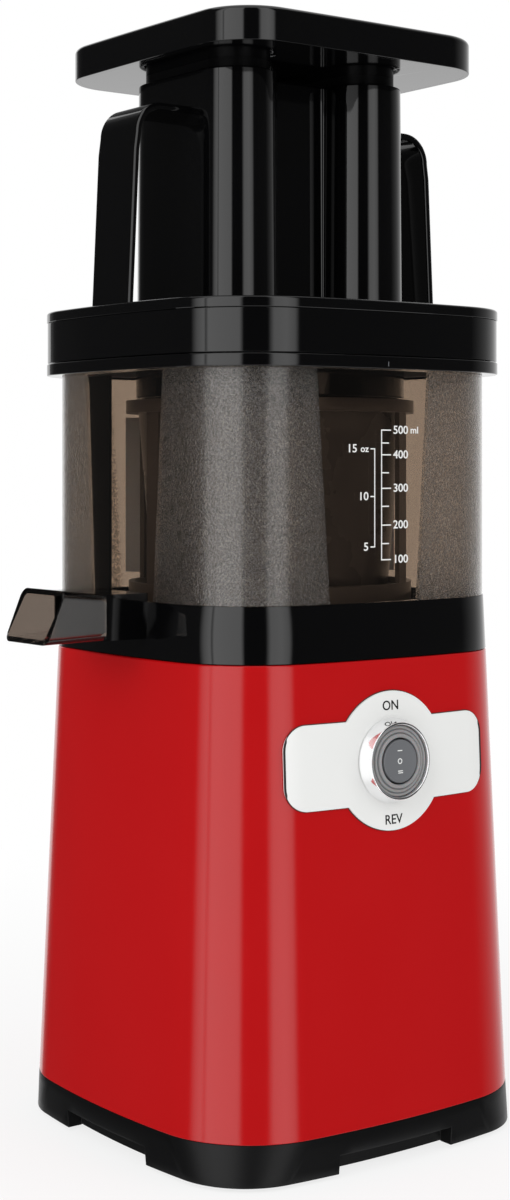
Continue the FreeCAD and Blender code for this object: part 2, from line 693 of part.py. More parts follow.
def make_cooling_fan():
    low = motor_low - S.endcap_thick - S.fan_thick - 1
    disc = plain_cylinder(S.fan_radius, low, low + 1.6)
    hub = plain_cylinder(S.motor_shaft_radius + 2.5, low, low + S.fan_thick)
    shape = disc.fuse(hub)
    count = int(float(S.fan_blades))
    inner = float(S.motor_shaft_radius) + 2
    for k in range(count):
        reach = float(S.fan_radius) - inner - 1
        blade = Part.makeBox(reach, 1.4, float(S.fan_thick), V(inner, -0.7, float(low)))
        blade.rotate(V(0, 0, 0), V(0, 0, 1), 360.0 * k / count)
        shape = shape.fuse(blade)
    bore = plain_cylinder(S.motor_shaft_radius, low, low + S.fan_thick)
    return plain_feature("cooling_fan", shape.cut(bore))


def make_control_board():
    """Board on four pillars, with a capacitor and a heat sink."""
    half, low, back = S.board_width / 2, S.board_low, S.board_place + S.board_depth
    board = box(-half, half, S.board_place, back, low, low + S.board_thick)
    top = low + S.board_thick
    pillars = [cylinder(2.5, low - tray_floor_top, x, y, tray_floor_top)
               for x in (5 - half, half - 5) for y in (S.board_place + 5, back - 5)]
    capacitor = cylinder(6.5, 22.0, 10 - half, S.board_place + 16, top)
    sink = box(2.0, half - 6, S.board_place + 10, S.board_place + 22, top, top + 16)
    return fuse(board, capacitor, sink, *pillars)


def make_cord_gland():
    """Round bush in the back wall, bored for a mains lead."""
    root = gland_out - S.housing_wall - S.gland_inside
    barrel = cylinder(S.gland_radius, S.gland_length, 0.0, 0.0, 0.0)
    flange = cylinder(S.gland_radius + S.gland_flange, S.gland_flange, 0.0, 0.0,
                      S.gland_inside + S.housing_wall + S.gland_lean_gap)
    nut_low = S.gland_inside - S.gland_nut - S.gland_lean_gap
    inner = cylinder(S.gland_radius + 2, S.gland_nut, 0.0, 0.0, nut_low)
    gland = cut(fuse(barrel, flange, inner), cylinder(S.gland_bore, S.gland_length, 0.0, 0.0, 0.0))
    return along_y(gland, S.gland_height, root, outward=1)


# Switch, in a frame that stands square to the tapered front face

def on_front(thing):
    turn = FreeCAD.Rotation(V(1, 0, 0), 90 - math.degrees(switch_tilt))
    thing.Placement = FreeCAD.Placement(V(0, -float(switch_out), float(S.switch_height)), turn)
    return thing


def make_switch_plate():
    skin = new_body("switch_plate_skin")
    ends = [housing_level(S.housing_low, -S.plate_thick), housing_level(S.housing_top, -S.plate_thick)]
    square_loft(skin, "plate_outside", ends, S.side_bulge)
    inside = [housing_level(S.housing_low, -S.plate_gap), housing_level(S.housing_top, -S.plate_gap)]
    square_loft(skin, "plate_inside", inside, S.side_bulge, take_away=True)
    outline = new_body("switch_plate_outline")
    disc = new_sketch(outline, "plate_disc", plane="XZ_Plane")
    draw_circle(disc, S.plate_disc_radius, 0.0, S.switch_height)
    pad_up(outline, "plate_disc_pad", disc, S.housing_low_width)
    wings = new_sketch(outline, "plate_wings", plane="XZ_Plane")
    x, z = S.wing_width / 2, S.wing_height / 2
    draw_rectangle(wings, -x, x, S.switch_height - z, S.switch_height + z)
    pad_up(outline, "plate_wings_pad", wings, S.housing_low_width)
    doc.recompute()
    edges = edges_at(outline.Shape, lambda p: abs(abs(p.x) - float(x)) < 0.1 and abs(p.y) > 1 and
                     abs(abs(p.z - float(S.switch_height)) - float(z)) < 0.1)
    round_edges(outline, "plate_corners", edges, S.wing_corner)
    hole = new_sketch(outline, "plate_hole", plane="XZ_Plane")
    draw_circle(hole, S.bezel_bore + 0.4, 0.0, S.switch_height)
    add_feature(outline, "Pocket", "plate_hole_cut", hole, length=S.housing_low_width, reverse=True)
    return common(skin, outline)


def edges_at(shape, test):
    """Names of the edges whose middle point passes the test."""
    found = []
    for k, edge in enumerate(shape.Edges, start=1):
        middle = edge.valueAt((edge.FirstParameter + edge.LastParameter) / 2)
        if test(middle):
            found.append("Edge%d" % k)
    return found


def round_edges(body, name, edges, radius):
    before = body.Tip
    fillet = body.newObject("PartDesign::Fillet", name)
    fillet.Base = (before, edges)
    bind(fillet, "Radius", radius)
    return fillet


def make_switch_bezel():
    bezel = cone(S.bezel_radius, S.bezel_lip_radius, S.bezel_depth, 0.0, 0.0, S.plate_thick)
    return on_front(cut(bezel, cylinder(S.bezel_bore, S.bezel_depth, 0.0, 0.0, S.plate_thick)))


def make_switch_body():
    barrel = cylinder(S.bezel_bore, S.switch_body_depth + 0.5, 0.0, 0.0, -S.switch_body_depth)
    return on_front(group(barrel))


def make_switch_boot():
    """Silicone ring that fills the bezel round the rocker, higher at its inner lip."""
    low, lip = S.seam + 0.2, S.boot_inner_radius
    body = new_body("switch_boot_ring")
    sketch = new_sketch(body, "boot_profile", plane="XZ_Plane")
    draw_polygon(sketch, [(lip, low), (S.bezel_bore, low), (S.bezel_bore, S.bezel_depth - 1.2),
                          (lip + 1.6, S.bezel_depth - 0.6), (lip + 1.4, S.bezel_depth + 0.4),
                          (lip, S.bezel_depth + 0.4)])
    turn = body.newObject("PartDesign::Revolution", "boot_turn")
    turn.Profile = sketch
    turn.ReferenceAxis = (sketch, ["V_Axis"])
    turn.Angle = 360.0
    return on_front(group(body))


PIVOT_HEIGHT = 2.3
PIVOT_RADIUS = 1.5
PIVOT_LENGTH = 12.0


def make_switch_rocker():
    """Round button on a cross pin that it rocks about."""
    disc = cylinder(S.rocker_radius, S.rocker_thick - 0.6, 0.0, 0.0, PIVOT_HEIGHT + 0.1)
    start = V(-PIVOT_LENGTH / 2, 0, PIVOT_HEIGHT)
    pin = plain_feature("rocker_pin", Part.makeCylinder(PIVOT_RADIUS, PIVOT_LENGTH, start, V(1, 0, 0)))
    return on_front(fuse(disc, pin))


# Bowl

bowl_low = S.housing_top + S.seam
floor_top = S.floor_low + S.floor_thick
gear_low = S.drive_gear_low
gear_top = gear_low + S.drive_gear_thick
RING_MODULE = float(S.ring_module)
SUN = int(float(S.sun_teeth))
IDLER = int(float(S.idler_teeth))
RING = int(float(S.ring_teeth))
RING_THIN = float(S.ring_backlash)
idler_place = S.ring_module * (S.sun_teeth + S.idler_teeth) / 2
hub_bore = S.socket_radius + S.bearing_gap
spout_half = S.spout_root_width / 2
base_half = bowl_base_width / 2
socket_out = base_half + S.spout_root_length


def make_bowl_base():
    """Black collar with the bowl's floor, the brush drive's pins, the pulp duct and the spout socket."""
    body = new_body("bowl_base_shell")
    levels = [(bowl_low, bowl_base_width, bowl_base_corner),
              (S.bowl_base_top, bowl_base_width - 2, bowl_base_corner - 1)]
    square_loft(body, "collar_outside", levels, S.side_bulge)
    inner_width, inner_corner = bowl_width - S.bowl_wall * 2, bowl_corner - S.bowl_wall
    inside = new_sketch(body, "collar_inside", offset=S.bowl_base_top)
    draw_rounded_square(inside, inner_width, inner_corner, S.side_bulge)
    cut_down(body, "collar_inside_cut", inside, S.bowl_base_top - floor_top)
    under = new_sketch(body, "collar_under", offset=bowl_low)
    draw_rounded_square(under, inner_width, inner_corner, S.side_bulge)
    cut_up(body, "collar_under_cut", under, S.floor_low - bowl_low)
    half, wall = S.pulp_width / 2, S.pulp_wall
    duct_low = S.pulp_low - wall + S.seam
    duct = box(idler_place - S.pulp_post_radius, base_half - 1, -half, half, duct_low, S.floor_low)
    pulp_post = cylinder(S.pulp_post_radius, S.strainer_low - S.floor_low, idler_place, 0.0, S.floor_low)
    support = cylinder(S.support_radius, S.strainer_low - floor_top, -idler_place, 0.0, floor_top)
    hub = cylinder(hub_bore + 3, S.floor_low - duct_low - 2, 0.0, 0.0, duct_low + 2)
    socket = box(-socket_out, -base_half + 2, -spout_half, spout_half, S.spout_root_low, S.bowl_base_top)
    hood = box(-socket_out, -bowl_width / 2 - S.seam, -spout_half, spout_half, S.bowl_base_top - 1,
               S.spout_root_top)
    solid = fuse(body, duct, pulp_post, support, hub, socket, hood)
    bore = cylinder(hub_bore, 20.0, 0.0, 0.0, bowl_low)
    pulp_bore = cylinder(S.pulp_bore_radius, S.strainer_low - S.pulp_low, idler_place, 0.0, S.pulp_low)
    pulp_run = box(idler_place, base_half + 2, wall - half, half - wall, S.pulp_low, S.pulp_top)
    plug_hole = box(idler_place - 6, base_half - 10, -S.pulp_bore_radius, S.pulp_bore_radius,
                    duct_low, S.pulp_low)
    juice_gate = box(-base_half - 2, -inner_width / 2 + 2, 4 - spout_half, spout_half - 4, floor_top,
                     S.bowl_base_top - 1)
    cavity = box(-socket_out, -base_half - 1, S.spout_wall - spout_half, spout_half - S.spout_wall,
                 S.spout_root_low + S.spout_wall, S.spout_root_top - S.spout_wall)
    pins = [cylinder(S.idler_pin_radius, S.floor_thick, 0.0, y * idler_place, S.floor_low) for y in (-1, 1)]
    return cut(solid, bore, pulp_bore, pulp_run, plug_hole, juice_gate, cavity, *pins)


def make_juice_bowl():
    body = new_body("juice_bowl")
    outside = new_sketch(body, "bowl_outside", offset=S.bowl_base_top)
    draw_rounded_square(outside, bowl_width, bowl_corner, S.side_bulge)
    pad_up(body, "bowl_pad", outside, S.bowl_top - S.bowl_base_top)
    inside = new_sketch(body, "bowl_inside", offset=S.bowl_top)
    draw_rounded_square(inside, bowl_width - S.bowl_wall * 2, bowl_corner - S.bowl_wall, S.side_bulge)
    cut_down(body, "bowl_hollow", inside, S.bowl_top - S.bowl_base_top)
    return body


def make_bowl_rim():
    body = new_body("bowl_rim")
    outside = new_sketch(body, "rim_outside", offset=S.bowl_top)
    draw_rounded_square(outside, lid_width, lid_corner, S.side_bulge)
    pad_up(body, "rim_pad", outside, S.rim_thick)
    inside = new_sketch(body, "rim_inside", offset=S.bowl_top)
    draw_rounded_square(inside, bowl_width - S.bowl_wall * 2, bowl_corner - S.bowl_wall, S.side_bulge)
    cut_up(body, "rim_hollow", inside, S.rim_thick)
    return body


def duct_ring(x_low, x_high, half, low, high, corner):
    """Closed outline of a duct's section, its lower edge at x_low and its upper edge at x_high."""
    places = [(-half + corner, low), (half - corner, low), (half, low + corner), (half, high - corner),
              (half - corner, high), (-half + corner, high), (-half, high - corner), (-half, low + corner)]

    def lean(z):
        return x_low + (x_high - x_low) * (z - low) / (high - low)

    points = [V(lean(z), y, z) for y, z in places]
    return Part.makePolygon(points + points[:1])


DUCT_PAST = 1.0


def make_duct(name, sections, wall):
    """Thin duct through sections of (x_low, x_high, half width, low, high)."""
    outer = Part.makeLoft([duct_ring(*section, 2.5) for section in sections], True, True)
    inner = []
    for k, (x_low, x_high, half, low, high) in enumerate(sections):
        past = 0.0 if 0 < k < len(sections) - 1 else (DUCT_PAST if k == 0 else -DUCT_PAST)
        grow = past * (1 if x_low < 0 else -1)
        inner.append(duct_ring(x_low + grow, x_high + grow, half - wall, low + wall, high - wall, 1.5))
    return plain_feature(name, outer.cut(Part.makeLoft(inner, True, True)))


def make_juice_spout():
    root, tip = float(socket_out), float(S.spout_tip)
    low, high = float(S.spout_root_low), float(S.spout_root_top)
    mouth_low = float(S.spout_tip_low)
    mouth_high = mouth_low + float(S.spout_mouth_height)
    sections = [(-root, -root, float(spout_half), low, high),
                (-tip, -tip + float(S.spout_lean), float(S.spout_mouth_width) / 2, mouth_low, mouth_high)]
    return make_duct("juice_spout", sections, float(S.spout_wall))


def make_pulp_spout():
    root, tip, half = float(base_half), float(S.pulp_tip), float(S.pulp_width) / 2
    low, high, wall = float(S.pulp_low), float(S.pulp_top), float(S.pulp_wall)
    sections = [(root, root, half, low - wall + 0.4, high + wall),
                (tip, tip - 6, half - 2, low - wall - 1, high + wall)]
    return make_duct("pulp_spout", sections, wall)


def make_pulp_plug():
    duct_low = S.pulp_low - S.pulp_wall + S.seam
    return box(idler_place - 6, base_half - 10, -S.pulp_bore_radius, S.pulp_bore_radius, duct_low, S.pulp_low)


def make_shaft_seal():
    reach = S.hex_flats / math.sqrt(3) + S.seam
    return tube(hub_bore, reach, S.floor_low - 6, S.floor_low - 1)


def make_idler_pins():
    height = gear_top + 0.6 - S.floor_low
    return group(*[cylinder(S.idler_pin_radius, height, 0.0, y * idler_place, S.floor_low)
                   for y in (-1, 1)])


def strainer_radius(height):
    share = (height - S.strainer_low) / (S.strainer_top - S.strainer_low)
    return S.strainer_low_radius + (S.strainer_top_radius - S.strainer_low_radius) * share


def strainer_cone(inset, low, top):
    return cone(strainer_radius(low) - inset, strainer_radius(top) - inset, top - low, 0.0, 0.0, low)


MESH_MARGIN = 3.0
WINDOW_ROWS = ((15.0, 27.3), (54.0, 70.0))


def make_strainer_frame():
    """Tapered cage: a floor with the pulp hole, two rows of windows and a top collar."""
    low, top = S.strainer_low, S.strainer_top
    shell = strainer_cone(0.0, low, top)
    collar = cylinder(S.strainer_top_radius + 0.7, S.strainer_collar, 0.0, 0.0, top)
    hollow = strainer_cone(S.strainer_wall, low + S.strainer_plate, top + S.strainer_collar)
    eye = cylinder(S.strainer_eye, S.strainer_plate, 0.0, 0.0, low)
    pulp_hole = cylinder(S.pulp_bore_radius, S.strainer_plate, idler_place, 0.0, low)
    windows = []
    count = int(float(S.window_count))
    for z0, z1 in WINDOW_ROWS:
        for k in range(count):
            window = box(S.strainer_low_radius - 8, S.strainer_top_radius + 4, -S.window_width / 2,
                         S.window_width / 2, low + z0, low + z1)
            turn = FreeCAD.Rotation(V(0, 0, 1), 360.0 * k / count)
            corner = window.Placement.Base
            window.setExpression("Placement.Base.x", None)
            window.setExpression("Placement.Base.y", None)
            window.setExpression("Placement.Base.z", None)
            window.Placement = FreeCAD.Placement(turn.multVec(corner), turn)
            windows.append(window)
    return cut(fuse(shell, collar), hollow, eye, pulp_hole, *windows)


def make_strainer_mesh():
    """Thin perforated sleeve that lines the cage behind its windows."""
    low = S.strainer_low + WINDOW_ROWS[0][0] - MESH_MARGIN
    top = S.strainer_top
    inset = S.strainer_wall + S.mesh_gap
    return cut(strainer_cone(inset, low, top), strainer_cone(inset + S.mesh_thick, low, top))


FOOT_HEIGHT = 6.0


def make_brush_frame():
    """Turning cage round the strainer, with the ring gear inside its foot."""
    outer = S.brush_inner_radius + S.brush_wall
    points = gear_outline(RING, RING_MODULE, -RING_THIN, math.pi / RING, top=STUB_ROOT, root=STUB_TOP)
    foot = plain_cylinder(outer, gear_low, gear_top)
    foot = foot.cut(gear_solid(points, 0, 0, gear_low, S.drive_gear_thick))
    low_ring = plain_cylinder(outer, gear_top, gear_top + FOOT_HEIGHT).cut(
        plain_cylinder(S.brush_inner_radius, gear_top, gear_top + FOOT_HEIGHT))
    lip_low = S.brush_top - S.brush_lip
    lip = plain_cylinder(S.brush_lip_radius, lip_low, S.brush_top).cut(
        plain_cylinder(S.brush_inner_radius, lip_low, S.brush_top))
    shape = foot.fuse(low_ring).fuse(lip)
    count = int(float(S.brush_bars))
    half = float(S.brush_bar_width) / 2
    inset = float(S.brush_bar_inset)
    bar_low, bar_top = float(gear_top) + FOOT_HEIGHT - 1, float(lip_low) + 1
    for k in range(count):
        bar = Part.makeBox(float(S.brush_wall) - inset * 2, half * 2, bar_top - bar_low,
                           V(float(S.brush_inner_radius) + inset, -half, bar_low))
        bar.rotate(V(0, 0, 0), V(0, 0, 1), 360.0 * k / count)
        shape = shape.fuse(bar)
    return plain_feature("brush_frame", shape.removeSplitter())


def make_brush_blades():
    """Silicone wipers on every second bar of the cage."""
    blades = []
    inner = float(S.brush_inner_radius + S.brush_wall - S.brush_bar_inset)
    tip = float(bowl_width / 2 - S.bowl_wall - S.blade_gap)
    low, top = float(gear_top) + FOOT_HEIGHT + 2, float(S.brush_top - S.brush_lip) - 1
    count = int(float(S.brush_bars))
    for k in range(0, count, 2):
        thick = float(S.blade_thick)
        blade = Part.makeBox(tip - inner, thick, top - low, V(inner, -thick / 2, low))
        blade.rotate(V(0, 0, 0), V(0, 0, 1), 360.0 * k / count)
        blades.append(blade)
    return plain_feature("brush_blades", Part.makeCompound(blades))


def make_brush_idler(side):
    points = gear_outline(IDLER, RING_MODULE, RING_THIN, math.pi / IDLER)
    gear = gear_solid(points, 0, side * idler_place, gear_low, S.drive_gear_thick)
    bore = plain_cylinder(S.idler_pin_radius + S.idler_pin_gap, gear_low, gear_top, 0, side * idler_place)
    return plain_feature("brush_idler", gear.cut(bore))


# Auger

# How far outside the foot of the core the flight's guide line winds.
HELIX_OUT = 4.0


def make_auger():
    """Tapered screw: a core on a socket, one helical flight and a pin on top."""
    socket = float(S.socket_radius)
    low, top, core_top = float(S.auger_low), float(S.auger_top), float(S.core_top)
    skirt = plain_cylinder(S.strainer_eye - 2.5, gear_top, low)
    core = Part.makeCone(float(S.core_low_radius), float(S.core_top_radius), core_top - low, V(0, 0, low))
    pin = plain_cylinder(S.auger_pin_radius, core_top, S.auger_pin_top)
    pitch, thick = float(S.flight_pitch), float(S.flight_thick)
    helix = Part.makeHelix(pitch, top - low + pitch / 4, float(S.core_low_radius) + HELIX_OUT)
    inner, outer = 10.0, float(S.strainer_top_radius) + 4
    profile = Part.makePolygon([V(inner, 0, -thick / 2), V(outer, 0, -thick / 2), V(outer, 0, thick / 2),
                                V(inner, 0, thick / 2), V(inner, 0, -thick / 2)])
    sweep = Part.BRepOffsetAPI.MakePipeShell(helix)
    sweep.setFrenetMode(True)
    sweep.add(profile)
    sweep.build()
    sweep.makeSolid()
    flight = sweep.shape()
    flight.translate(V(0, 0, low - pitch / 8))
    inset = float(S.strainer_wall + S.mesh_gap + S.mesh_thick + S.auger_gap)
    low_radius = float(strainer_radius(S.auger_low)) - inset
    top_radius = float(strainer_radius(S.auger_top)) - inset
    limit = float(S.neck_radius - S.neck_wall - S.auger_gap)
    envelope = Part.makeCone(low_radius, min(top_radius, limit), top - low, V(0, 0, low))
    flight = flight.common(envelope)
    solid = core.fuse(flight).fuse(skirt).fuse(pin)
    solid = solid.cut(plain_cylinder(socket, gear_top, float(S.shaft_top) + 2))
    return plain_feature("auger", solid)


def make_auger_socket():
    """Steel sleeve with a hexagon bore; its foot runs in the hub of the bowl's floor."""
    low = S.floor_low - 0.5
    sleeve = cylinder(S.socket_radius, S.shaft_top + 2 - low, 0.0, 0.0, low)
    hexagon = prism(6, S.hex_flats / math.sqrt(3) + S.shaft_socket_gap, S.shaft_top + 1 - low, low)
    return cut(sleeve, hexagon)


def make_auger_gear():
    gear = gear_solid(gear_outline(SUN, RING_MODULE, RING_THIN, 0.0), 0, 0, gear_low, S.drive_gear_thick)
    return plain_feature("auger_gear", gear.cut(plain_cylinder(S.socket_radius, gear_low, gear_top)))


# Hopper

plate_low = S.lid_top - S.lid_plate
band_low = S.bowl_top + S.rim_thick + S.seam
neck_hollow = S.neck_radius - S.neck_wall
throat_radius = S.lobe_radius - S.lobe_wall


def make_hopper_lid():
    """Lid plate with the double feed chute above it and the neck and bearing below it."""
    body = new_body("hopper_lid")
    plate = new_sketch(body, "lid_plate", offset=plate_low)
    draw_rounded_square(plate, lid_width, lid_corner, S.side_bulge)
    pad_up(body, "lid_plate_pad", plate, S.lid_plate)
    neck = new_sketch(body, "lid_neck", offset=S.neck_low)
    draw_circle(neck, S.neck_radius)
    draw_circle(neck, neck_hollow)
    pad_up(body, "lid_neck_pad", neck, plate_low - S.neck_low)
    boss = new_sketch(body, "lid_boss", offset=S.bearing_boss_low)
    draw_circle(boss, S.bearing_boss_radius)
    pad_up(body, "lid_boss_pad", boss, plate_low - S.bearing_boss_low)
    for side, name in ((-1, "left"), (1, "right")):
        foot = new_sketch(body, "lobe_foot_" + name, offset=S.lid_top)
        draw_slot(foot, side * S.lobe_place, S.lobe_straight, S.lobe_low_radius)
        head = new_sketch(body, "lobe_head_" + name, offset=S.chute_top)
        draw_slot(head, side * S.lobe_place, S.lobe_straight, S.lobe_radius)
        add_feature(body, "AdditiveLoft", "lobe_" + name, foot, sections=[head], ruled=True)
    web = new_sketch(body, "chute_web", offset=S.lid_top)
    draw_rectangle(web, -S.lobe_place, S.lobe_place, -S.web_depth, S.web_depth)
    pad_up(body, "chute_web_pad", web, S.chute_top - S.lid_top)
    well_half = S.lobe_place - throat_radius - S.lobe_wall
    well = new_sketch(body, "web_well", offset=S.chute_top)
    draw_rectangle(well, -well_half, well_half, S.web_wall - S.web_depth, S.web_depth - S.web_wall)
    cut_down(body, "web_well_cut", well, S.chute_top - S.lid_top - S.lobe_wall)
    throats = new_sketch(body, "throats", offset=S.chute_top)
    for side in (-1, 1):
        draw_slot(throats, side * S.lobe_place, S.lobe_straight, throat_radius)
    cut_down(body, "throat_cut", throats, S.chute_top - plate_low)
    bearing = new_sketch(body, "lid_bearing", offset=S.bearing_boss_low)
    draw_circle(bearing, S.auger_pin_radius + S.bearing_gap)
    cut_up(body, "lid_bearing_cut", bearing, S.auger_pin_top + 1 - S.bearing_boss_low)
    return body


def make_lid_band():
    """Lower band of the lid: an outer wall with a flange turned in at its foot."""
    body = new_body("lid_band")
    width, corner = lid_width - S.seam * 2, lid_corner - S.seam
    outside = new_sketch(body, "band_outside", offset=band_low)
    draw_rounded_square(outside, width, corner, S.side_bulge)
    pad_up(body, "band_pad", outside, plate_low - band_low)
    inside = new_sketch(body, "band_inside", offset=plate_low)
    draw_rounded_square(inside, width - S.lid_wall * 2, corner - S.lid_wall, S.side_bulge)
    cut_down(body, "band_hollow", inside, plate_low - band_low - S.lid_wall)
    mouth = new_sketch(body, "band_mouth", offset=band_low)
    inner = bowl_width - S.bowl_wall * 2 - S.seal_thick * 2 - S.seam * 2
    draw_rounded_square(mouth, inner, bowl_corner - S.bowl_wall - S.seal_thick - S.seam, S.side_bulge)
    cut_up(body, "band_mouth_cut", mouth, S.lid_wall)
    return body


def make_lid_seal():
    body = new_body("lid_seal")
    width = bowl_width - S.bowl_wall * 2 - S.seam * 2
    corner = bowl_corner - S.bowl_wall - S.seam
    low = band_low - S.skirt_depth
    outside = new_sketch(body, "seal_outside", offset=low)
    draw_rounded_square(outside, width, corner, S.side_bulge)
    pad_up(body, "seal_pad", outside, S.skirt_depth)
    inside = new_sketch(body, "seal_inside", offset=low)
    draw_rounded_square(inside, width - S.seal_thick * 2, corner - S.seal_thick, S.side_bulge)
    cut_up(body, "seal_hollow", inside, S.skirt_depth)
    return body


def make_handle(side, name):
    """Flat strap that rises from the lid's side and turns in to the chute."""
    body = new_body(name)
    sketch = new_sketch(body, name + "_side", plane="XZ_Plane")
    low, top, thick = S.lid_top, S.handle_top, S.handle_thick
    share = (S.chute_top - top + thick) / (S.chute_top - S.lid_top)
    end = (S.lobe_place + S.lobe_radius + (S.lobe_low_radius - S.lobe_radius) * share) * side
    foot, head = S.handle_low_reach * side, S.handle_top_reach * side
    inner = thick * side
    draw_polygon(sketch, [(foot, low), (head, top), (end, top), (end, top - thick),
                          (head - inner, top - thick), (foot - inner, low)])
    pad = add_feature(body, "Pad", name + "_pad", sketch, length=S.handle_width)
    pad.Midplane = True
    doc.recompute()
    for label, x, z, radius in (("outer", head, top, S.handle_bend),
                                ("inner", head - inner, top - thick, S.handle_bend - thick)):
        near = edges_at(body.Shape, lambda p: abs(p.x - float(x)) < 0.05 and abs(p.z - float(z)) < 0.05
                        and abs(p.y) < 0.05)
        round_edges(body, "%s_%s_bend" % (name, label), near, radius)
        doc.recompute()
    return body


# Pusher

def make_pusher_cap():
    body = new_body("pusher_cap")
    outside = new_sketch(body, "cap_outside", offset=pusher_low)
    draw_rounded_square(outside, S.pusher_width, S.pusher_corner, S.pusher_bulge)
    pad_up(body, "cap_pad", outside, pusher_top - pusher_low)
    inside = new_sketch(body, "cap_inside", offset=pusher_low)
    draw_rounded_square(inside, S.pusher_width - S.pusher_wall * 2, S.pusher_corner - S.pusher_wall,
                        S.pusher_bulge)
    cut_up(body, "cap_hollow", inside, pusher_top - pusher_low - S.pusher_wall)
    return body


def make_pusher_underplate():
    body = new_body("pusher_underplate")
    sketch = new_sketch(body, "underplate_outline", offset=pusher_low)
    draw_rounded_square(sketch, S.pusher_width - S.pusher_wall * 2, S.pusher_corner - S.pusher_wall,
                        S.pusher_bulge)
    pad_up(body, "underplate_pad", sketch, S.underplate_thick)
    holes = new_sketch(body, "underplate_holes", offset=pusher_low)
    for x, y in plunger_screw_places():
        draw_circle(holes, S.plunger_screw_radius, x, y)
    cut_up(body, "underplate_hole_cut", holes, S.underplate_thick)
    return body


def plunger_screw_places():
    return [(x * S.lobe_place, y * S.lobe_straight) for x in (-1, 1) for y in (-1, 1)]


def make_plunger(side, name):
    body = new_body(name)
    radius = throat_radius - S.plunger_gap
    outside = new_sketch(body, name + "_outside", offset=S.plunger_low)
    draw_slot(outside, side * S.lobe_place, S.lobe_straight, radius)
    pad_up(body, name + "_pad", outside, pusher_low - S.plunger_low)
    inside = new_sketch(body, name + "_inside", offset=pusher_low)
    draw_slot(inside, side * S.lobe_place, S.lobe_straight, radius - S.plunger_wall)
    cut_down(body, name + "_hollow", inside, pusher_low - S.plunger_low - S.plunger_wall)
    bosses = new_sketch(body, name + "_bosses", offset=S.plunger_low)
    for x, y in plunger_screw_places():
        if float(x) * side > 0:
            draw_circle(bosses, S.plunger_screw_radius + 2, x, y)
    pad_up(body, name + "_boss_pad", bosses, pusher_low - S.plunger_low)
    holes = new_sketch(body, name + "_holes", offset=pusher_low)
    for x, y in plunger_screw_places():
        if float(x) * side > 0:
            draw_circle(holes, S.plunger_screw_radius, x, y)
    cut_down(body, name + "_hole_cut", holes, 10.0)
    return body


def make_plunger_screws():
    screws = []
    top = pusher_low + S.underplate_thick
    for x, y in plunger_screw_places():
        shank = cylinder(S.plunger_screw_radius, 9.0 + S.underplate_thick, x, y, pusher_low - 9)
        head = cylinder(S.plunger_screw_radius + 1.6, 1.8, x, y, top)
        screws.append(fuse(shank, head))
    return group(*screws)


def build():
    node(make_base_housing(), "base_housing")
    node(make_top_deck(), "top_deck")
    node(make_base_tray(), "base_tray")
    for k, (x, y) in enumerate(at_corners(S.foot_place), start=1):
        node(make_foot(x, y), "rubber_foot_%d" % k)
    node(group(*[screw(x, y, S.tray_floor_low, S.screw_length) for x, y in at_corners(S.post_place)]),
         "tray_screws")
    node(make_switch_plate(), "switch_plate")
    node(make_switch_bezel(), "switch_bezel")
    node(make_switch_boot(), "switch_boot")
    node(make_switch_body(), "switch_body")
    node(make_switch_rocker(), "switch_rocker")
    node(make_motor_can(), "motor_can")
    node(make_motor_magnets(), "motor_magnets")
    node(make_motor_endcap(), "motor_endcap")
    node(make_carbon_brushes(), "carbon_brushes")
    node(make_motor_bearings(), "motor_bearings")
    node(make_gearbox_housing(), "gearbox_housing")
    node(make_gearbox_cover(), "gearbox_cover")
    long_screw = deck_low + S.deck_thick - 2 - S.gearbox_low
    screws = [screw(x, y, S.gearbox_low, long_screw) for x, y in gearbox_screw_places()]
    node(group(*screws), "gearbox_screws")
    pin_length = cover_low + 2 - S.gearbox_low
    node(cylinder(S.gear_pin_radius, pin_length, gear_reach, 0.0, S.gearbox_low), "gear_pin")
    node(tube(S.seal_radius, S.shaft_radius + S.bearing_gap, cover_low, deck_low), "output_bearing")
    node(tube(S.seal_radius, S.shaft_radius + 0.1, deck_low + 0.5, deck_low + 4.5), "drive_seal")
    node(make_control_board(), "control_board")
    node(make_cord_gland(), "cord_gland")
    node(make_armature(), "armature")
    node(make_commutator(), "commutator")
    node(make_cooling_fan(), "cooling_fan")
    node(make_motor_pinion(), "motor_pinion")
    node(make_reduction_gear(), "reduction_gear")
    node(make_output_gear(), "output_gear")
    node(make_drive_shaft(), "drive_shaft")
    node(make_bowl_base(), "bowl_base")
    node(make_juice_bowl(), "juice_bowl")
    node(make_bowl_rim(), "bowl_rim")
    node(make_juice_spout(), "juice_spout")
    node(make_pulp_spout(), "pulp_spout")
    node(make_pulp_plug(), "pulp_plug")
    node(make_shaft_seal(), "shaft_seal")
    node(make_idler_pins(), "idler_pins")
    node(make_strainer_frame(), "strainer_frame")
    node(make_strainer_mesh(), "strainer_mesh")
    node(make_auger(), "auger")
    node(make_auger_socket(), "auger_socket")
    node(make_auger_gear(), "auger_gear")
    node(make_brush_idler(-1), "brush_idler_front")
    node(make_brush_idler(1), "brush_idler_rear")
    node(make_brush_frame(), "brush_frame")
    node(make_brush_blades(), "brush_blades")
    node(make_hopper_lid(), "hopper_lid")
    node(make_lid_band(), "lid_band")
    node(make_lid_seal(), "lid_seal")
    node(make_handle(-1, "handle_left"), "handle_left")
    node(make_handle(1, "handle_right"), "handle_right")
    node(make_pusher_cap(), "pusher_cap")
    node(make_pusher_underplate(), "pusher_underplate")
    node(make_plunger(-1, "plunger_left"), "plunger_left")
    node(make_plunger(1, "plunger_right"), "plunger_right")
    node(make_plunger_screws(), "plunger_screws")


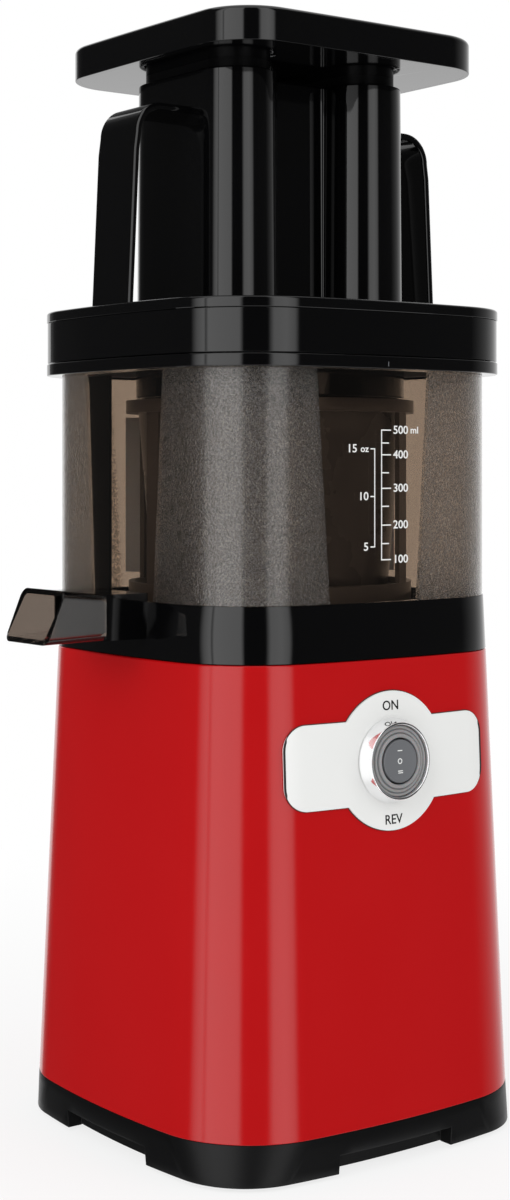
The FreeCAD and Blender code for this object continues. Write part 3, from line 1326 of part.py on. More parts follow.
build()
doc.recompute()
broken = [thing.Label for thing in doc.Objects if "Invalid" in thing.State or "Error" in thing.State]
for part in nodes:
    if part.Shape.isNull() or not part.Shape.isValid() or not part.Shape.Solids:
        broken.append(part.Label)
if broken:
    raise RuntimeError("not built: " + ", ".join(broken))
os.makedirs("parts", exist_ok=True)
for part in nodes:
    part.Shape.exportStep("parts/%s.step" % part.Label)
    box_now = part.Shape.BoundBox
    print("%-20s %d solids %10.1f mm3  x %.1f..%.1f y %.1f..%.1f z %.1f..%.1f" % (
        part.Label, len(part.Shape.Solids), part.Shape.Volume, box_now.XMin, box_now.XMax,
        box_now.YMin, box_now.YMax, box_now.ZMin, box_now.ZMax))
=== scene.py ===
import json
import math

import bmesh
import bpy
from mathutils import Matrix, Vector
from mathutils.geometry import tessellate_polygon


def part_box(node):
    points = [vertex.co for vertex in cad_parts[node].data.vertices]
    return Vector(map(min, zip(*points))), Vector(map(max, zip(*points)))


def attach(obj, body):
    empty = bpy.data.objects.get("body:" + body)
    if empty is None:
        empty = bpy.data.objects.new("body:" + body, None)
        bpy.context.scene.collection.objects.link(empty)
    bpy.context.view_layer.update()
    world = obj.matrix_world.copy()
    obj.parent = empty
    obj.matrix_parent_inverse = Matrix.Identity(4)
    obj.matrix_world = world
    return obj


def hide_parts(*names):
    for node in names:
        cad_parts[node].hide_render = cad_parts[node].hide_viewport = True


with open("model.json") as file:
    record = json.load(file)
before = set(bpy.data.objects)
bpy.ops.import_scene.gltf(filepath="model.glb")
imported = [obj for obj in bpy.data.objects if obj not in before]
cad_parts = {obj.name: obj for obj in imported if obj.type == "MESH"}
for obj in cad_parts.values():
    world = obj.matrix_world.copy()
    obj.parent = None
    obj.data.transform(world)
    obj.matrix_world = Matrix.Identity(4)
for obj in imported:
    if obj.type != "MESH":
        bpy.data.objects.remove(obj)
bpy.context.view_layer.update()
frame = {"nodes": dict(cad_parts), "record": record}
nodes = frame["nodes"]

MM = 0.001
SIDE_BULGE = 400.0
PUSHER_BULGE = 2500.0
SHARP = math.radians(35)


class Box:
    """A node's box at rest, in millimetres."""

    def __init__(self, node):
        low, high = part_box(node)
        self.x0, self.y0, self.z0 = (v / MM for v in low)
        self.x1, self.y1, self.z1 = (v / MM for v in high)
        self.width = self.x1 - self.x0


# Outlines in plan, as lists of (x, y) in millimetres, anticlockwise

def arc(cx, cy, radius, start, end, steps, last=False):
    """Points on an arc between two angles in degrees."""
    count = steps + 1 if last else steps
    angles = [math.radians(start + (end - start) * k / steps) for k in range(count)]
    return [(cx + radius * math.cos(a), cy + radius * math.sin(a)) for a in angles]


def square(width, corner, bulge=SIDE_BULGE, side_steps=12, corner_steps=20):
    """Square of slightly bowed sides and round corners about the origin."""
    out = bulge - width / 2
    c = (-out + math.sqrt(2 * (bulge - corner) ** 2 - out ** 2)) / 2
    meet = math.degrees(math.atan2(c, c + out))
    side = arc(-out, 0, bulge, -meet, meet, side_steps)
    bend = arc(c, c, corner, meet, 90 - meet, corner_steps)
    points = side + bend
    turned = []
    for k in range(4):
        cos, sin = ((1, 0), (0, 1), (-1, 0), (0, -1))[k]
        turned += [(x * cos - y * sin, x * sin + y * cos) for x, y in points]
    return turned


def slot_outline(cx, straight, radius, steps=20):
    """Oblong along Y about (cx, 0)."""
    far = arc(cx, straight, radius, 0, 180, steps, True)
    return far + arc(cx, -straight, radius, 180, 360, steps, True)


def circle(radius, steps=72, cx=0.0, cy=0.0):
    return arc(cx, cy, radius, 0, 360, steps)


def shifted(points, amount):
    """The outline moved outwards by amount along its normals."""
    moved = []
    count = len(points)
    for k, (x, y) in enumerate(points):
        before, after = Vector(points[k - 1]), Vector(points[(k + 1) % count])
        along = (after - before).normalized()
        moved.append((x + along.y * amount, y - along.x * amount))
    return moved


# Meshes

def make_piece(name, points, faces, body, slot, replaces=(), sharp=SHARP):
    """A mesh in millimetres becomes a piece that rides a body."""
    mesh = bpy.data.meshes.new(name)
    mesh.from_pydata([Vector(p) * MM for p in points], [], faces)
    mesh.validate()
    work = bmesh.new()
    work.from_mesh(mesh)
    bmesh.ops.remove_doubles(work, verts=work.verts, dist=1e-7)
    bmesh.ops.recalc_face_normals(work, faces=work.faces)
    work.to_mesh(mesh)
    work.free()
    mesh.shade_smooth()
    mesh.set_sharp_from_angle(angle=sharp)
    piece = bpy.data.objects.new(name, mesh)
    bpy.context.scene.collection.objects.link(piece)
    weighted = piece.modifiers.new("even_normals", "WEIGHTED_NORMAL")
    weighted.keep_sharp = True
    piece.data.materials.append(material[slot])
    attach(piece, body)
    if replaces:
        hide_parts(*replaces)
    return piece


def grid(loops, closed=True, base=0):
    """Faces between loops of equal length, round each loop, and back to the first loop if closed."""
    faces = []
    count = len(loops[0])
    pairs = len(loops) if closed else len(loops) - 1
    for a in range(pairs):
        b = (a + 1) % len(loops)
        for k in range(count):
            n = (k + 1) % count
            here, there = base + a * count, base + b * count
            faces.append((here + k, here + n, there + n, there + k))
    return faces


def ring_piece(name, loops, body, slot, replaces=(), sharp=SHARP):
    """Closed shell through loops of (x, y, z)."""
    points = [p for loop in loops for p in loop]
    return make_piece(name, points, grid(loops), body, slot, replaces, sharp)


def at_height(points, z):
    return [(x, y, z) for x, y in points]


def eased(low, high, low_ease, high_ease, steps=5):
    """Heights and insets of a wall whose two edges are rounded."""
    levels = []
    for k in range(steps + 1):
        a = math.radians(90 * k / steps)
        levels.append((low + low_ease * (1 - math.cos(a)), low_ease * (1 - math.sin(a))))
    for k in range(steps + 1):
        a = math.radians(90 - 90 * k / steps)
        levels.append((high - high_ease * (1 - math.cos(a)), high_ease * (1 - math.sin(a))))
    return levels


def prism_parts(outline, holes, levels, hole_levels=None):
    """Points and faces of a solid with flat ends: its walls follow levels of (height, inset)."""
    points, faces = [], []
    starts = []
    plans = [(-1, outline, levels)] + [(1, hole, hole_levels or levels) for hole in holes]
    for inward, plan, rows in plans:
        start = len(points)
        loops = [at_height(shifted(plan, inward * inset), z) for z, inset in rows]
        faces += grid(loops, False, start)
        points += [p for loop in loops for p in loop]
        starts.append((start, len(plan)))
    for level in (0, len(levels) - 1):
        rings, names = [], []
        for start, count in starts:
            ring = [start + level * count + k for k in range(count)]
            rings.append([Vector(points[n]) for n in ring])
            names += ring
        faces += [tuple(names[k] for k in three) for three in tessellate_polygon(rings)]
    return points, faces


def joined_parts(*parts):
    """Several closed solids, each as points and faces, in one mesh."""
    points, faces = [], []
    for more_points, more_faces in parts:
        base = len(points)
        points += more_points
        faces += [tuple(base + n for n in face) for face in more_faces]
    return points, faces


def lathe_loops(profile, steps=96):
    """Loops for a ring turned about Z through a closed profile of (radius, height)."""
    return [at_height(circle(radius, steps), z) for radius, z in profile]


def placed(loops, matrix):
    return [[tuple(matrix @ Vector(p)) for p in loop] for loop in loops]


# Materials

GLOSS_PATCHES = 38.0
BUMP_DEPTH = 0.0002
METAL_LINES = 60.0
PLASTIC_IOR = 1.49


def math_node(tree, kind, first, second=None):
    made = tree.nodes.new("ShaderNodeMath")
    made.operation = kind
    for k, value in enumerate((first, second)):
        if value is None:
            continue
        if isinstance(value, (int, float)):
            made.inputs[k].default_value = value
        else:
            tree.links.new(value, made.inputs[k])
    return made.outputs["Value"]


def noise(tree, place, scale, detail):
    made = tree.nodes.new("ShaderNodeTexNoise")
    made.inputs["Scale"].default_value = scale
    made.inputs["Detail"].default_value = detail
    tree.links.new(place, made.inputs["Vector"])
    return made.outputs["Fac"]


def mapped(tree, value, old=(0.0, 1.0), new=(0.0, 1.0)):
    """A value taken from one range to another."""
    made = tree.nodes.new("ShaderNodeMapRange")
    made.inputs["From Min"].default_value, made.inputs["From Max"].default_value = old
    made.inputs["To Min"].default_value, made.inputs["To Max"].default_value = new
    tree.links.new(value, made.inputs["Value"])
    return made.outputs["Result"]


def colour_mix(tree, first, second, factor):
    """A mix of two colours, each of them a value or a socket."""
    made = tree.nodes.new("ShaderNodeMix")
    made.data_type = "RGBA"
    for name, colour in (("A", first), ("B", second)):
        if isinstance(colour, tuple):
            made.inputs[name].default_value = (*colour, 1.0)
        else:
            tree.links.new(colour, made.inputs[name])
    tree.links.new(factor, made.inputs["Factor"])
    return made.outputs["Result"]


def new_material(name, colour, roughness, bump=0.0, grain=800.0, spread=0.06, mottle=0.04, **sockets):
    """Moulded or worked surface: fine grain, uneven gloss and a slight change of shade."""
    made = bpy.data.materials.new(name)
    made.use_nodes = True
    tree = made.node_tree
    links, shader = tree.links, tree.nodes["Principled BSDF"]
    place = tree.nodes.new("ShaderNodeTexCoord").outputs["Object"]
    fine = noise(tree, place, grain, 3.0)
    broad = noise(tree, place, GLOSS_PATCHES, 4.0)
    gloss = mapped(tree, broad, new=(max(0.0, roughness - spread), roughness + spread))
    links.new(gloss, shader.inputs["Roughness"])
    dark = tuple(v * (1 - mottle) for v in colour)
    light = tuple(min(1.0, v * (1 + mottle)) for v in colour)
    links.new(colour_mix(tree, dark, light, broad), shader.inputs["Base Color"])
    if bump:
        height = tree.nodes.new("ShaderNodeBump")
        height.inputs["Strength"].default_value = bump
        height.inputs["Distance"].default_value = BUMP_DEPTH
        links.new(fine, height.inputs["Height"])
        links.new(height.outputs["Normal"], shader.inputs["Normal"])
    for socket, value in sockets.items():
        shader.inputs[socket.replace("_", " ")].default_value = value
    return made


def worked_metal(name, colour, roughness, stretch):
    """Turned, drawn or brushed metal: its fine lines run across the stretched axis."""
    made = new_material(name, colour, roughness, spread=0.0, Metallic=1.0)
    tree = made.node_tree
    mapping = tree.nodes.new("ShaderNodeMapping")
    mapping.inputs["Scale"].default_value = stretch
    tree.links.new(tree.nodes["Texture Coordinate"].outputs["Object"], mapping.inputs["Vector"])
    gloss = tree.nodes["Map Range"]
    gloss.inputs["To Min"].default_value = roughness - 0.08
    gloss.inputs["To Max"].default_value = roughness + 0.12
    lines = noise(tree, mapping.outputs["Vector"], METAL_LINES, 5.0)
    tree.links.new(lines, gloss.inputs["Value"])
    return made


# The bowl's clear windows, in metres: middle of the front one, and half widths
WINDOW_CENTRE = 0.0043
WINDOW_TOP_HALF = 0.0267
WINDOW_LOW_HALF = 0.021
FROST_EDGE = 0.0004
FROST_GRAIN = 1250.0
FROST_DEPTH = 0.0006
FROST_ROUGHNESS = 0.22
FROST_COAT_ROUGHNESS = 0.16
CLEAR_ROUGHNESS = 0.015
BOWL_TINT = (0.53, 0.45, 0.38)
GRAIN_DARK = (0.22, 0.175, 0.14)
GRAIN_LIGHT = (0.64, 0.53, 0.43)
GRAIN_SPLIT = (0.38, 0.62)


def smoked_bowl():
    """Smoked clear plastic with frosted corners and a clear tapered window in each face."""
    bowl = Box("juice_bowl")
    made = new_material("smoked_clear_bowl", BOWL_TINT, 0.02, spread=0.0, mottle=0.0,
                        Transmission_Weight=1.0, IOR=PLASTIC_IOR)
    tree = made.node_tree
    links, shader = tree.links, tree.nodes["Principled BSDF"]
    place = tree.nodes["Texture Coordinate"].outputs["Object"]
    split = tree.nodes.new("ShaderNodeSeparateXYZ")
    links.new(place, split.inputs["Vector"])
    x, y, z = (split.outputs[axis] for axis in "XYZ")
    half = mapped(tree, z, (bowl.z0 * MM, bowl.z1 * MM), (WINDOW_LOW_HALF, WINDOW_TOP_HALF))
    across_front = math_node(tree, "ABSOLUTE", math_node(tree, "ADD", x, WINDOW_CENTRE))
    across_side = math_node(tree, "ABSOLUTE", y)
    nearest = math_node(tree, "MINIMUM", across_front, across_side)
    mask = mapped(tree, math_node(tree, "SUBTRACT", nearest, half), (0.0, FROST_EDGE))
    rough = mapped(tree, mask, new=(CLEAR_ROUGHNESS, FROST_ROUGHNESS))
    links.new(rough, shader.inputs["Roughness"])
    grain = noise(tree, place, FROST_GRAIN, 1.0)
    bump = tree.nodes.new("ShaderNodeBump")
    bump.inputs["Distance"].default_value = FROST_DEPTH
    links.new(grain, bump.inputs["Height"])
    links.new(mask, bump.inputs["Strength"])
    links.new(bump.outputs["Normal"], shader.inputs["Normal"])
    links.new(mask, shader.inputs["Coat Weight"])
    shader.inputs["Coat Roughness"].default_value = FROST_COAT_ROUGHNESS
    speckle = colour_mix(tree, GRAIN_DARK, GRAIN_LIGHT, mapped(tree, grain, GRAIN_SPLIT))
    links.new(colour_mix(tree, BOWL_TINT, speckle, mask), shader.inputs["Base Color"])
    return made


HOLE_PITCH = 0.0017
HOLE_EDGE = (0.26, 0.34)
HOLE_COLOUR = (0.05, 0.035, 0.025)
# Land between the holes: painted light, made much lighter than the steel to stand in for the light that the
# smoked bowl keeps from the inside
LAND_COLOUR_PAINTED_LIGHT = (0.85, 0.7, 0.55)


def perforated_steel():
    """Fine sheet with round holes in staggered rows, laid out round the machine's axis; its land is painted
    light, much lighter than the steel.
    """
    made = new_material("perforated_steel", LAND_COLOUR_PAINTED_LIGHT, 0.45, Metallic=0.15)
    tree = made.node_tree
    links, shader = tree.links, tree.nodes["Principled BSDF"]
    radius = Box("strainer_mesh").width / 2 * MM
    split = tree.nodes.new("ShaderNodeSeparateXYZ")
    links.new(tree.nodes["Texture Coordinate"].outputs["Object"], split.inputs["Vector"])
    turn = math_node(tree, "ARCTAN2", split.outputs["Y"], split.outputs["X"])
    u = math_node(tree, "MULTIPLY", turn, radius / HOLE_PITCH)
    v = math_node(tree, "MULTIPLY", split.outputs["Z"], 1 / HOLE_PITCH)
    join = tree.nodes.new("ShaderNodeCombineXYZ")
    links.new(math_node(tree, "ADD", u, v), join.inputs["X"])
    links.new(math_node(tree, "SUBTRACT", u, v), join.inputs["Y"])
    holes = tree.nodes.new("ShaderNodeTexVoronoi")
    holes.voronoi_dimensions = "2D"
    holes.inputs["Scale"].default_value = 1.0
    holes.inputs["Randomness"].default_value = 0.0
    links.new(join.outputs["Vector"], holes.inputs["Vector"])
    edge = mapped(tree, holes.outputs["Distance"], HOLE_EDGE)
    links.new(colour_mix(tree, HOLE_COLOUR, LAND_COLOUR_PAINTED_LIGHT, edge), shader.inputs["Base Color"])
    return made


def circuit_board():
    """Green lacquer with copper tracks and pads."""
    made = new_material("circuit_board", (0.03, 0.2, 0.08), 0.35, bump=0.2)
    tree = made.node_tree
    links, shader = tree.links, tree.nodes["Principled BSDF"]
    tracks = tree.nodes.new("ShaderNodeTexBrick")
    tracks.inputs["Scale"].default_value = 90.0
    tracks.inputs["Mortar Size"].default_value = 0.03
    tracks.inputs["Color1"].default_value = (0.02, 0.16, 0.06, 1.0)
    tracks.inputs["Color2"].default_value = (0.035, 0.22, 0.09, 1.0)
    tracks.inputs["Mortar"].default_value = (0.3, 0.3, 0.12, 1.0)
    links.new(tree.nodes["Texture Coordinate"].outputs["Object"], tracks.inputs["Vector"])
    links.new(tracks.outputs["Color"], shader.inputs["Base Color"])
    return made


def make_materials():
    """One material for each slot of the record."""
    return {
        "red_gloss": new_material("red_gloss", (0.47, 0.0045, 0.006), 0.13, 0.02, 500.0, 0.03, 0.03,
                                  Specular_IOR_Level=0.42),
        "black_gloss": new_material("black_gloss", (0.0018, 0.0018, 0.002), 0.06, 0.01, 500.0, 0.02,
                                    Specular_IOR_Level=0.5),
        "black_satin": new_material("black_satin", (0.003, 0.003, 0.0032), 0.35, 0.12, 1800.0,
                                    Specular_IOR_Level=0.2),
        "black_matte": new_material("black_matte", (0.004, 0.004, 0.0042), 0.5, 0.3, 1500.0,
                                    Specular_IOR_Level=0.12),
        "smoked_clear": smoked_bowl(),
        "white_metal": new_material("white_metal", (0.84, 0.845, 0.83), 0.34, 0.05, 1200.0, 0.04, 0.015,
                                    Specular_IOR_Level=0.6),
        "chrome": new_material("chrome", (0.9, 0.9, 0.91), 0.05, spread=0.02, mottle=0.0, Metallic=1.0),
        "grey_silicone": new_material("grey_silicone", (0.29, 0.29, 0.295), 0.3, 0.06, 900.0,
                                      Subsurface_Weight=0.25, Subsurface_Scale=0.002),
        "rocker_grey": new_material("rocker_grey", (0.15, 0.155, 0.165), 0.3, 0.05, 1200.0),
        "rubber_black": new_material("rubber_black", (0.015, 0.015, 0.015), 0.7, 0.4, 1400.0),
        "steel": worked_metal("turned_steel", (0.55, 0.56, 0.57), 0.3, (1.0, 1.0, 30.0)),
        "magnet": new_material("ferrite", (0.08, 0.08, 0.085), 0.55, 0.4, 1600.0, Metallic=0.4),
        "carbon": new_material("carbon_block", (0.03, 0.03, 0.033), 0.5, 0.3, 1800.0),
        "die_cast": new_material("die_cast", (0.5, 0.5, 0.52), 0.45, 0.3, 900.0, Metallic=1.0),
        "bronze": worked_metal("sintered_bronze", (0.6, 0.36, 0.16), 0.35, (1.0, 1.0, 20.0)),
        "board_green": circuit_board(),
        "gear_nylon": new_material("natural_nylon", (0.72, 0.7, 0.62), 0.4, 0.1, 900.0,
                                   Subsurface_Weight=0.1, Subsurface_Scale=0.002),
        "strainer_dark": new_material("strainer_dark", (0.05, 0.043, 0.04), 0.28, 0.05, 1200.0),
        "mesh_steel": perforated_steel(),
        "auger_dark": new_material("auger_dark", (0.07, 0.06, 0.052), 0.3, 0.08, 1000.0),
        "brush_grey": new_material("brush_grey", (0.06, 0.05, 0.045), 0.3, 0.06, 900.0),
    }


material = make_materials()
spout_plastic = new_material("smoked_spout", (0.17, 0.135, 0.11), 0.04, spread=0.01, mottle=0.0,
                             Transmission_Weight=1.0, IOR=PLASTIC_IOR)


# Carried-over nodes

# Width of the eased edges, in millimetres
EASED_NODES = {"base_tray": 0.5, "bowl_base": 0.4, "pulp_spout": 0.4, "pusher_underplate": 0.2,
               "plunger_left": 0.5, "plunger_right": 0.5, "strainer_frame": 0.25, "brush_frame": 0.25,
               "auger": 0.3, "gearbox_housing": 0.4, "gearbox_cover": 0.4, "cord_gland": 0.3}


def dress_nodes():
    """Each node gets the material of its slot and, where it shows, eased edges."""
    for part in frame["record"]["subparts"]:
        body = nodes[part["node"]]
        body.data.materials.clear()
        body.data.materials.append(material[part["material_slot"]])
        ease = EASED_NODES.get(part["node"])
        if ease:
            weld = body.modifiers.new("weld", "WELD")
            weld.merge_threshold = 1e-6
            bevel = body.modifiers.new("eased_edges", "BEVEL")
            bevel.width = ease * MM
            bevel.segments = 2
            bevel.limit_method = "ANGLE"
            bevel.angle_limit = math.radians(40)
            bevel.use_clamp_overlap = True


# Base

BASE_LOW_CORNER = 41.0
BASE_TOP_CORNER = 35.5
HOUSING_WALL = 2.8
HOUSING_LIP = 2.5
HOUSING_EASE = 0.8


def housing_plan(z, inset):
    """Outline of the tapered red housing at a height."""
    box = Box("base_housing")
    share = (z - box.z0) / (box.z1 - box.z0)
    low, top = box.width, Box("bowl_base").y1 * 2
    width = low + (top - low) * share
    corner = BASE_LOW_CORNER + (BASE_TOP_CORNER - BASE_LOW_CORNER) * share
    return square(width - 2 * inset, corner - inset)


def make_housing():
    """Thin tapered shell, open below, with a lip turned in at the top."""
    box = Box("base_housing")
    outside = eased(box.z0, box.z1, 0.4, HOUSING_EASE)
    mouth = HOUSING_WALL + HOUSING_LIP
    inside = [(box.z1, mouth - 0.4), (box.z1 - 0.4, mouth), (box.z1 - HOUSING_LIP, mouth),
              (box.z1 - HOUSING_LIP, HOUSING_WALL), (box.z0, HOUSING_WALL)]
    loops = [at_height(housing_plan(z, inset), z) for z, inset in outside + inside]
    return ring_piece("housing_shell", loops, "base", "red_gloss", ["base_housing"])


# Switch, in a frame that stands square to the tapered front face

SWITCH_HEIGHT = 149.0
BEZEL_FOOT = 0.8
BEZEL_TOP = 6.0
BEZEL_BORE = 13.2
BEZEL_FOOT_RADIUS = 15.8
BEZEL_LIP_RADIUS = 13.9
ROCKER_RADIUS = 8.0
ROCKER_LOW = 2.4
ROCKER_TOP = 5.8
ROCKER_DISH = 0.5
MARK_LENGTH = 2.3
MARK_HEIGHT = 0.35
LETTER_SIZE = 5.0
LETTER_BOLD = 0.05


def switch_frame():
    housing, collar = Box("base_housing"), Box("bowl_base")
    lean = (housing.width / 2 - collar.y1) / (housing.z1 - housing.z0)
    out = housing.width / 2 - lean * (SWITCH_HEIGHT - housing.z0)
    turn = Matrix.Rotation(math.radians(90) - math.atan(lean), 4, "X")
    return Matrix.Translation((0, -out, SWITCH_HEIGHT)) @ turn


def switch_piece(name, profile, body, slot, replaces=()):
    loops = placed(lathe_loops(profile), switch_frame())
    return ring_piece(name, loops, body, slot, replaces, math.radians(50))


def flat_shape(name, outline, holes, z, thick, body, slot):
    """Thin mark printed or moulded on the switch."""
    points, faces = prism_parts(outline, holes, [(z, 0.0), (z + thick, 0.0)])
    matrix = switch_frame()
    return make_piece(name, [tuple(matrix @ Vector(p)) for p in points], faces, body, slot)


def bar(x, y, width, height):
    """Outline of a short bar with round ends."""
    r = height / 2
    right = arc(x + width / 2 - r, y, r, -90, 90, 8, True)
    return right + arc(x - width / 2 + r, y, r, 90, 270, 8, True)


def word(name, text, size, place, matrix, body, slot, thick=0.06, align="CENTER", bold=0.0, stretch=1.0):
    """Lettering as a thin mesh; place is its middle on the baseline."""
    curve = bpy.data.curves.new(name + "_text", "FONT")
    curve.body = text
    curve.size = size
    curve.align_x = align
    curve.align_y = "CENTER"
    curve.offset = bold
    curve.extrude = thick / 2
    curve.resolution_u = 4
    source = bpy.data.objects.new(name + "_source", curve)
    bpy.context.scene.collection.objects.link(source)
    bpy.context.view_layer.update()
    mesh = bpy.data.meshes.new_from_object(source.evaluated_get(bpy.context.evaluated_depsgraph_get()))
    bpy.data.objects.remove(source)
    wide = Vector((stretch, 1.0, 1.0))
    points = [tuple(matrix @ (v.co * wide + Vector(place))) for v in mesh.vertices]
    faces = [tuple(p.vertices) for p in mesh.polygons]
    bpy.data.meshes.remove(mesh)
    return make_piece(name, points, faces, body, slot)


PLATE_DISC = 25.75
WING_HALF_WIDTH = 47.5
WING_HALF_HEIGHT = 15.5
WING_CORNER = 9.0


def plate_outline():
    """Front view of the switch plate: a disc with a wing to each side."""
    x, z, r = WING_HALF_WIDTH - WING_CORNER, WING_HALF_HEIGHT - WING_CORNER, WING_CORNER
    meet = math.degrees(math.asin(WING_HALF_HEIGHT / PLATE_DISC))
    points = arc(x, -z, r, -90, 0, 10, True) + arc(x, z, r, 0, 90, 10, True)
    points += arc(0, 0, PLATE_DISC, meet, 180 - meet, 32, True)
    points += arc(-x, z, r, 90, 180, 10, True) + arc(-x, -z, r, 180, 270, 10, True)
    return points + arc(0, 0, PLATE_DISC, 180 + meet, 360 - meet, 32, True)


def housing_front(x, z):
    """Y of the red front face at a place on it."""
    box = Box("base_housing")
    share = (z - box.z0) / (box.z1 - box.z0)
    half = (box.width + (Box("bowl_base").y1 * 2 - box.width) * share) / 2
    return -(math.sqrt(SIDE_BULGE ** 2 - x * x) - SIDE_BULGE + half)


# Black edge round the switch plate, painted shadow for the groove's shade: reach outside and inside the
# plate's outline, and rise off the red face
SHADOW_EDGE_OUT = 0.3
SHADOW_EDGE_IN = 0.5
SHADOW_EDGE_PROUD = 0.2


def make_plate_shadow_edge():
    """Thin black edge round the switch plate: painted shadow that stands in for the shade in the groove
    round it.
    """
    loops = []
    section = ((SHADOW_EDGE_OUT, 0.0), (SHADOW_EDGE_OUT, SHADOW_EDGE_PROUD), (-SHADOW_EDGE_IN, SHADOW_EDGE_PROUD), (-SHADOW_EDGE_IN, 0.0))
    for reach, proud in section:
        flat = [(x, z + SWITCH_HEIGHT) for x, z in shifted(plate_outline(), reach)]
        loops.append([(x, housing_front(x, z) - proud, z) for x, z in flat])
    ring_piece("plate_painted_shadow_edge", loops, "base", "rubber_black")


def make_switch():
    """Chrome bezel, ribbed boot and rocker, the black edge of painted shadow round the plate, and the
    plate's two words.
    """
    bezel = [(BEZEL_BORE, BEZEL_FOOT), (BEZEL_FOOT_RADIUS, BEZEL_FOOT)]
    bezel += [(BEZEL_FOOT_RADIUS, BEZEL_FOOT + 0.4), (BEZEL_FOOT_RADIUS - 0.25, BEZEL_FOOT + 0.9)]
    bezel += [(BEZEL_LIP_RADIUS + 0.45, BEZEL_TOP - 0.7)]
    bezel += arc(BEZEL_LIP_RADIUS - 0.05, BEZEL_TOP - 0.5, 0.5, 20, 160, 8, True)
    bezel += [(BEZEL_BORE, BEZEL_TOP - 0.9)]
    switch_piece("bezel_ring", bezel, "base", "chrome", ["switch_bezel"])
    boot = [(8.6, 0.5), (13.1, 0.5), (13.1, BEZEL_TOP - 1.9)]
    boot += arc(12.5, BEZEL_TOP - 1.7, 0.6, 0, 150, 6, True) + [(11.75, BEZEL_TOP - 1.9)]
    boot += arc(11.0, BEZEL_TOP - 1.55, 0.65, 10, 170, 6, True) + [(10.2, BEZEL_TOP - 1.6)]
    boot += arc(9.35, BEZEL_TOP - 1.0, 0.75, 0, 180, 8, True)
    switch_piece("boot_ring", boot, "base", "grey_silicone", ["switch_boot"])
    make_rocker()
    make_plate_shadow_edge()
    matrix = switch_frame()
    for text, name, height in (("ON", "on_letters", 20.2), ("REV", "rev_letters", -21.9)):
        place = (0, height, BEZEL_FOOT + 0.02)
        word(name, text, LETTER_SIZE, place, matrix, "base", "black_matte", bold=LETTER_BOLD)


def make_rocker():
    """Round rocker with a dished face and its three marks."""
    radius, low, top, dish = ROCKER_RADIUS, ROCKER_LOW, ROCKER_TOP, ROCKER_DISH
    face = [(radius * k / 10, top - dish + dish * (k / 10) ** 2) for k in range(10, 0, -1)]
    profile = [(0.02, low), (radius - 0.5, low), (radius, low + 0.5)]
    profile += [(radius, top - 0.3), (radius - 0.3, top)]
    profile += [(r - 0.4 if r > 7 else r, z) for r, z in face[1:]] + [(0.02, top - dish)]
    switch_piece("rocker_disc", profile, "rocker", "rocker_grey", ["switch_rocker"])
    z = top - dish + 0.02
    on_mark = bar(0, 3.9, MARK_LENGTH, MARK_HEIGHT)
    flat_shape("mark_on", on_mark, [], z + 0.12, 0.12, "rocker", "white_metal")
    flat_shape("mark_off", circle(1.05, 32), [circle(0.7, 32)], z, 0.1, "rocker", "white_metal")
    for name, height, rise in (("mark_reverse_1", -3.6, 0.1), ("mark_reverse_2", -4.3, 0.14)):
        mark = bar(0, height, MARK_LENGTH, MARK_HEIGHT)
        flat_shape(name, mark, [], z + rise, 0.12, "rocker", "white_metal")


# Bowl

BOWL_CORNER = 32.5
BOWL_WALL = 3.0
LID_CORNER = 40.5
RIM_EASE = 0.5


def wall_ring(name, width, corner, wall_width, wall_corner, low, high, ease, body, slot, replaces):
    """Straight wall between an outer and an inner rounded square, its edges eased."""
    levels = eased(low, high, ease, ease, 4)
    outer = [at_height(square(width - 2 * d, corner - d), z) for z, d in levels]
    inner = [at_height(square(wall_width + 2 * d, wall_corner + d), z) for z, d in reversed(levels)]
    return ring_piece(name, outer + inner, body, slot, replaces)


def make_bowl():
    bowl, rim = Box("juice_bowl"), Box("bowl_rim")
    inner_width, inner_corner = bowl.width - 2 * BOWL_WALL, BOWL_CORNER - BOWL_WALL
    shell = wall_ring("bowl_shell", bowl.width, BOWL_CORNER, inner_width, inner_corner, bowl.z0, bowl.z1,
                      0.2, "bowl", "smoked_clear", ["juice_bowl"])
    shell.visible_shadow = False
    wall_ring("rim_ring", rim.width, LID_CORNER, inner_width, inner_corner, rim.z0, rim.z1, RIM_EASE,
              "bowl", "black_gloss", ["bowl_rim"])


SPOUT_LEAN = 8.0
SPOUT_WALL = 2.0
SPOUT_LOW = 194.0
SPOUT_HIGH = 211.0
SPOUT_TAPER = 3.5
SPOUT_CORNER = 3.2
SPOUT_INNER_CORNER = 1.6
SPOUT_STEPS = 8


def duct_loop(x_low, x_high, half, low, high, corner, steps=5):
    """Rounded rectangle across the spout, its lower edge at x_low and its upper edge at x_high."""
    places = arc(half - corner, low + corner, corner, -90, 0, steps, True)
    places += arc(half - corner, high - corner, corner, 0, 90, steps, True)
    places += arc(-half + corner, high - corner, corner, 90, 180, steps, True)
    places += arc(-half + corner, low + corner, corner, 180, 270, steps, True)
    return [(x_low + (x_high - x_low) * (z - low) / (high - low), y, z) for y, z in places]


def make_spout():
    """Smoked duct that falls and narrows a little to a mouth cut back at its top."""
    box = Box("juice_spout")
    outer, inner = [], []
    for k in range(SPOUT_STEPS + 1):
        t = k / SPOUT_STEPS
        x_low = box.x1 + (box.x0 - box.x1) * t
        x_high = box.x1 + (box.x0 + SPOUT_LEAN - box.x1) * t
        half = box.y1 - SPOUT_TAPER * t
        low, high = SPOUT_LOW + (box.z0 - SPOUT_LOW) * t, SPOUT_HIGH + (box.z1 - SPOUT_HIGH) * t
        outer.append(duct_loop(x_low, x_high, half, low, high, SPOUT_CORNER))
        inner.append(duct_loop(x_low, x_high, half - SPOUT_WALL, low + SPOUT_WALL, high - SPOUT_WALL,
                               SPOUT_INNER_CORNER))
    spout = ring_piece("spout_duct", outer + inner[::-1], "bowl", "smoked_clear", ["juice_spout"])
    spout.data.materials[0] = spout_plastic
    spout.visible_shadow = False


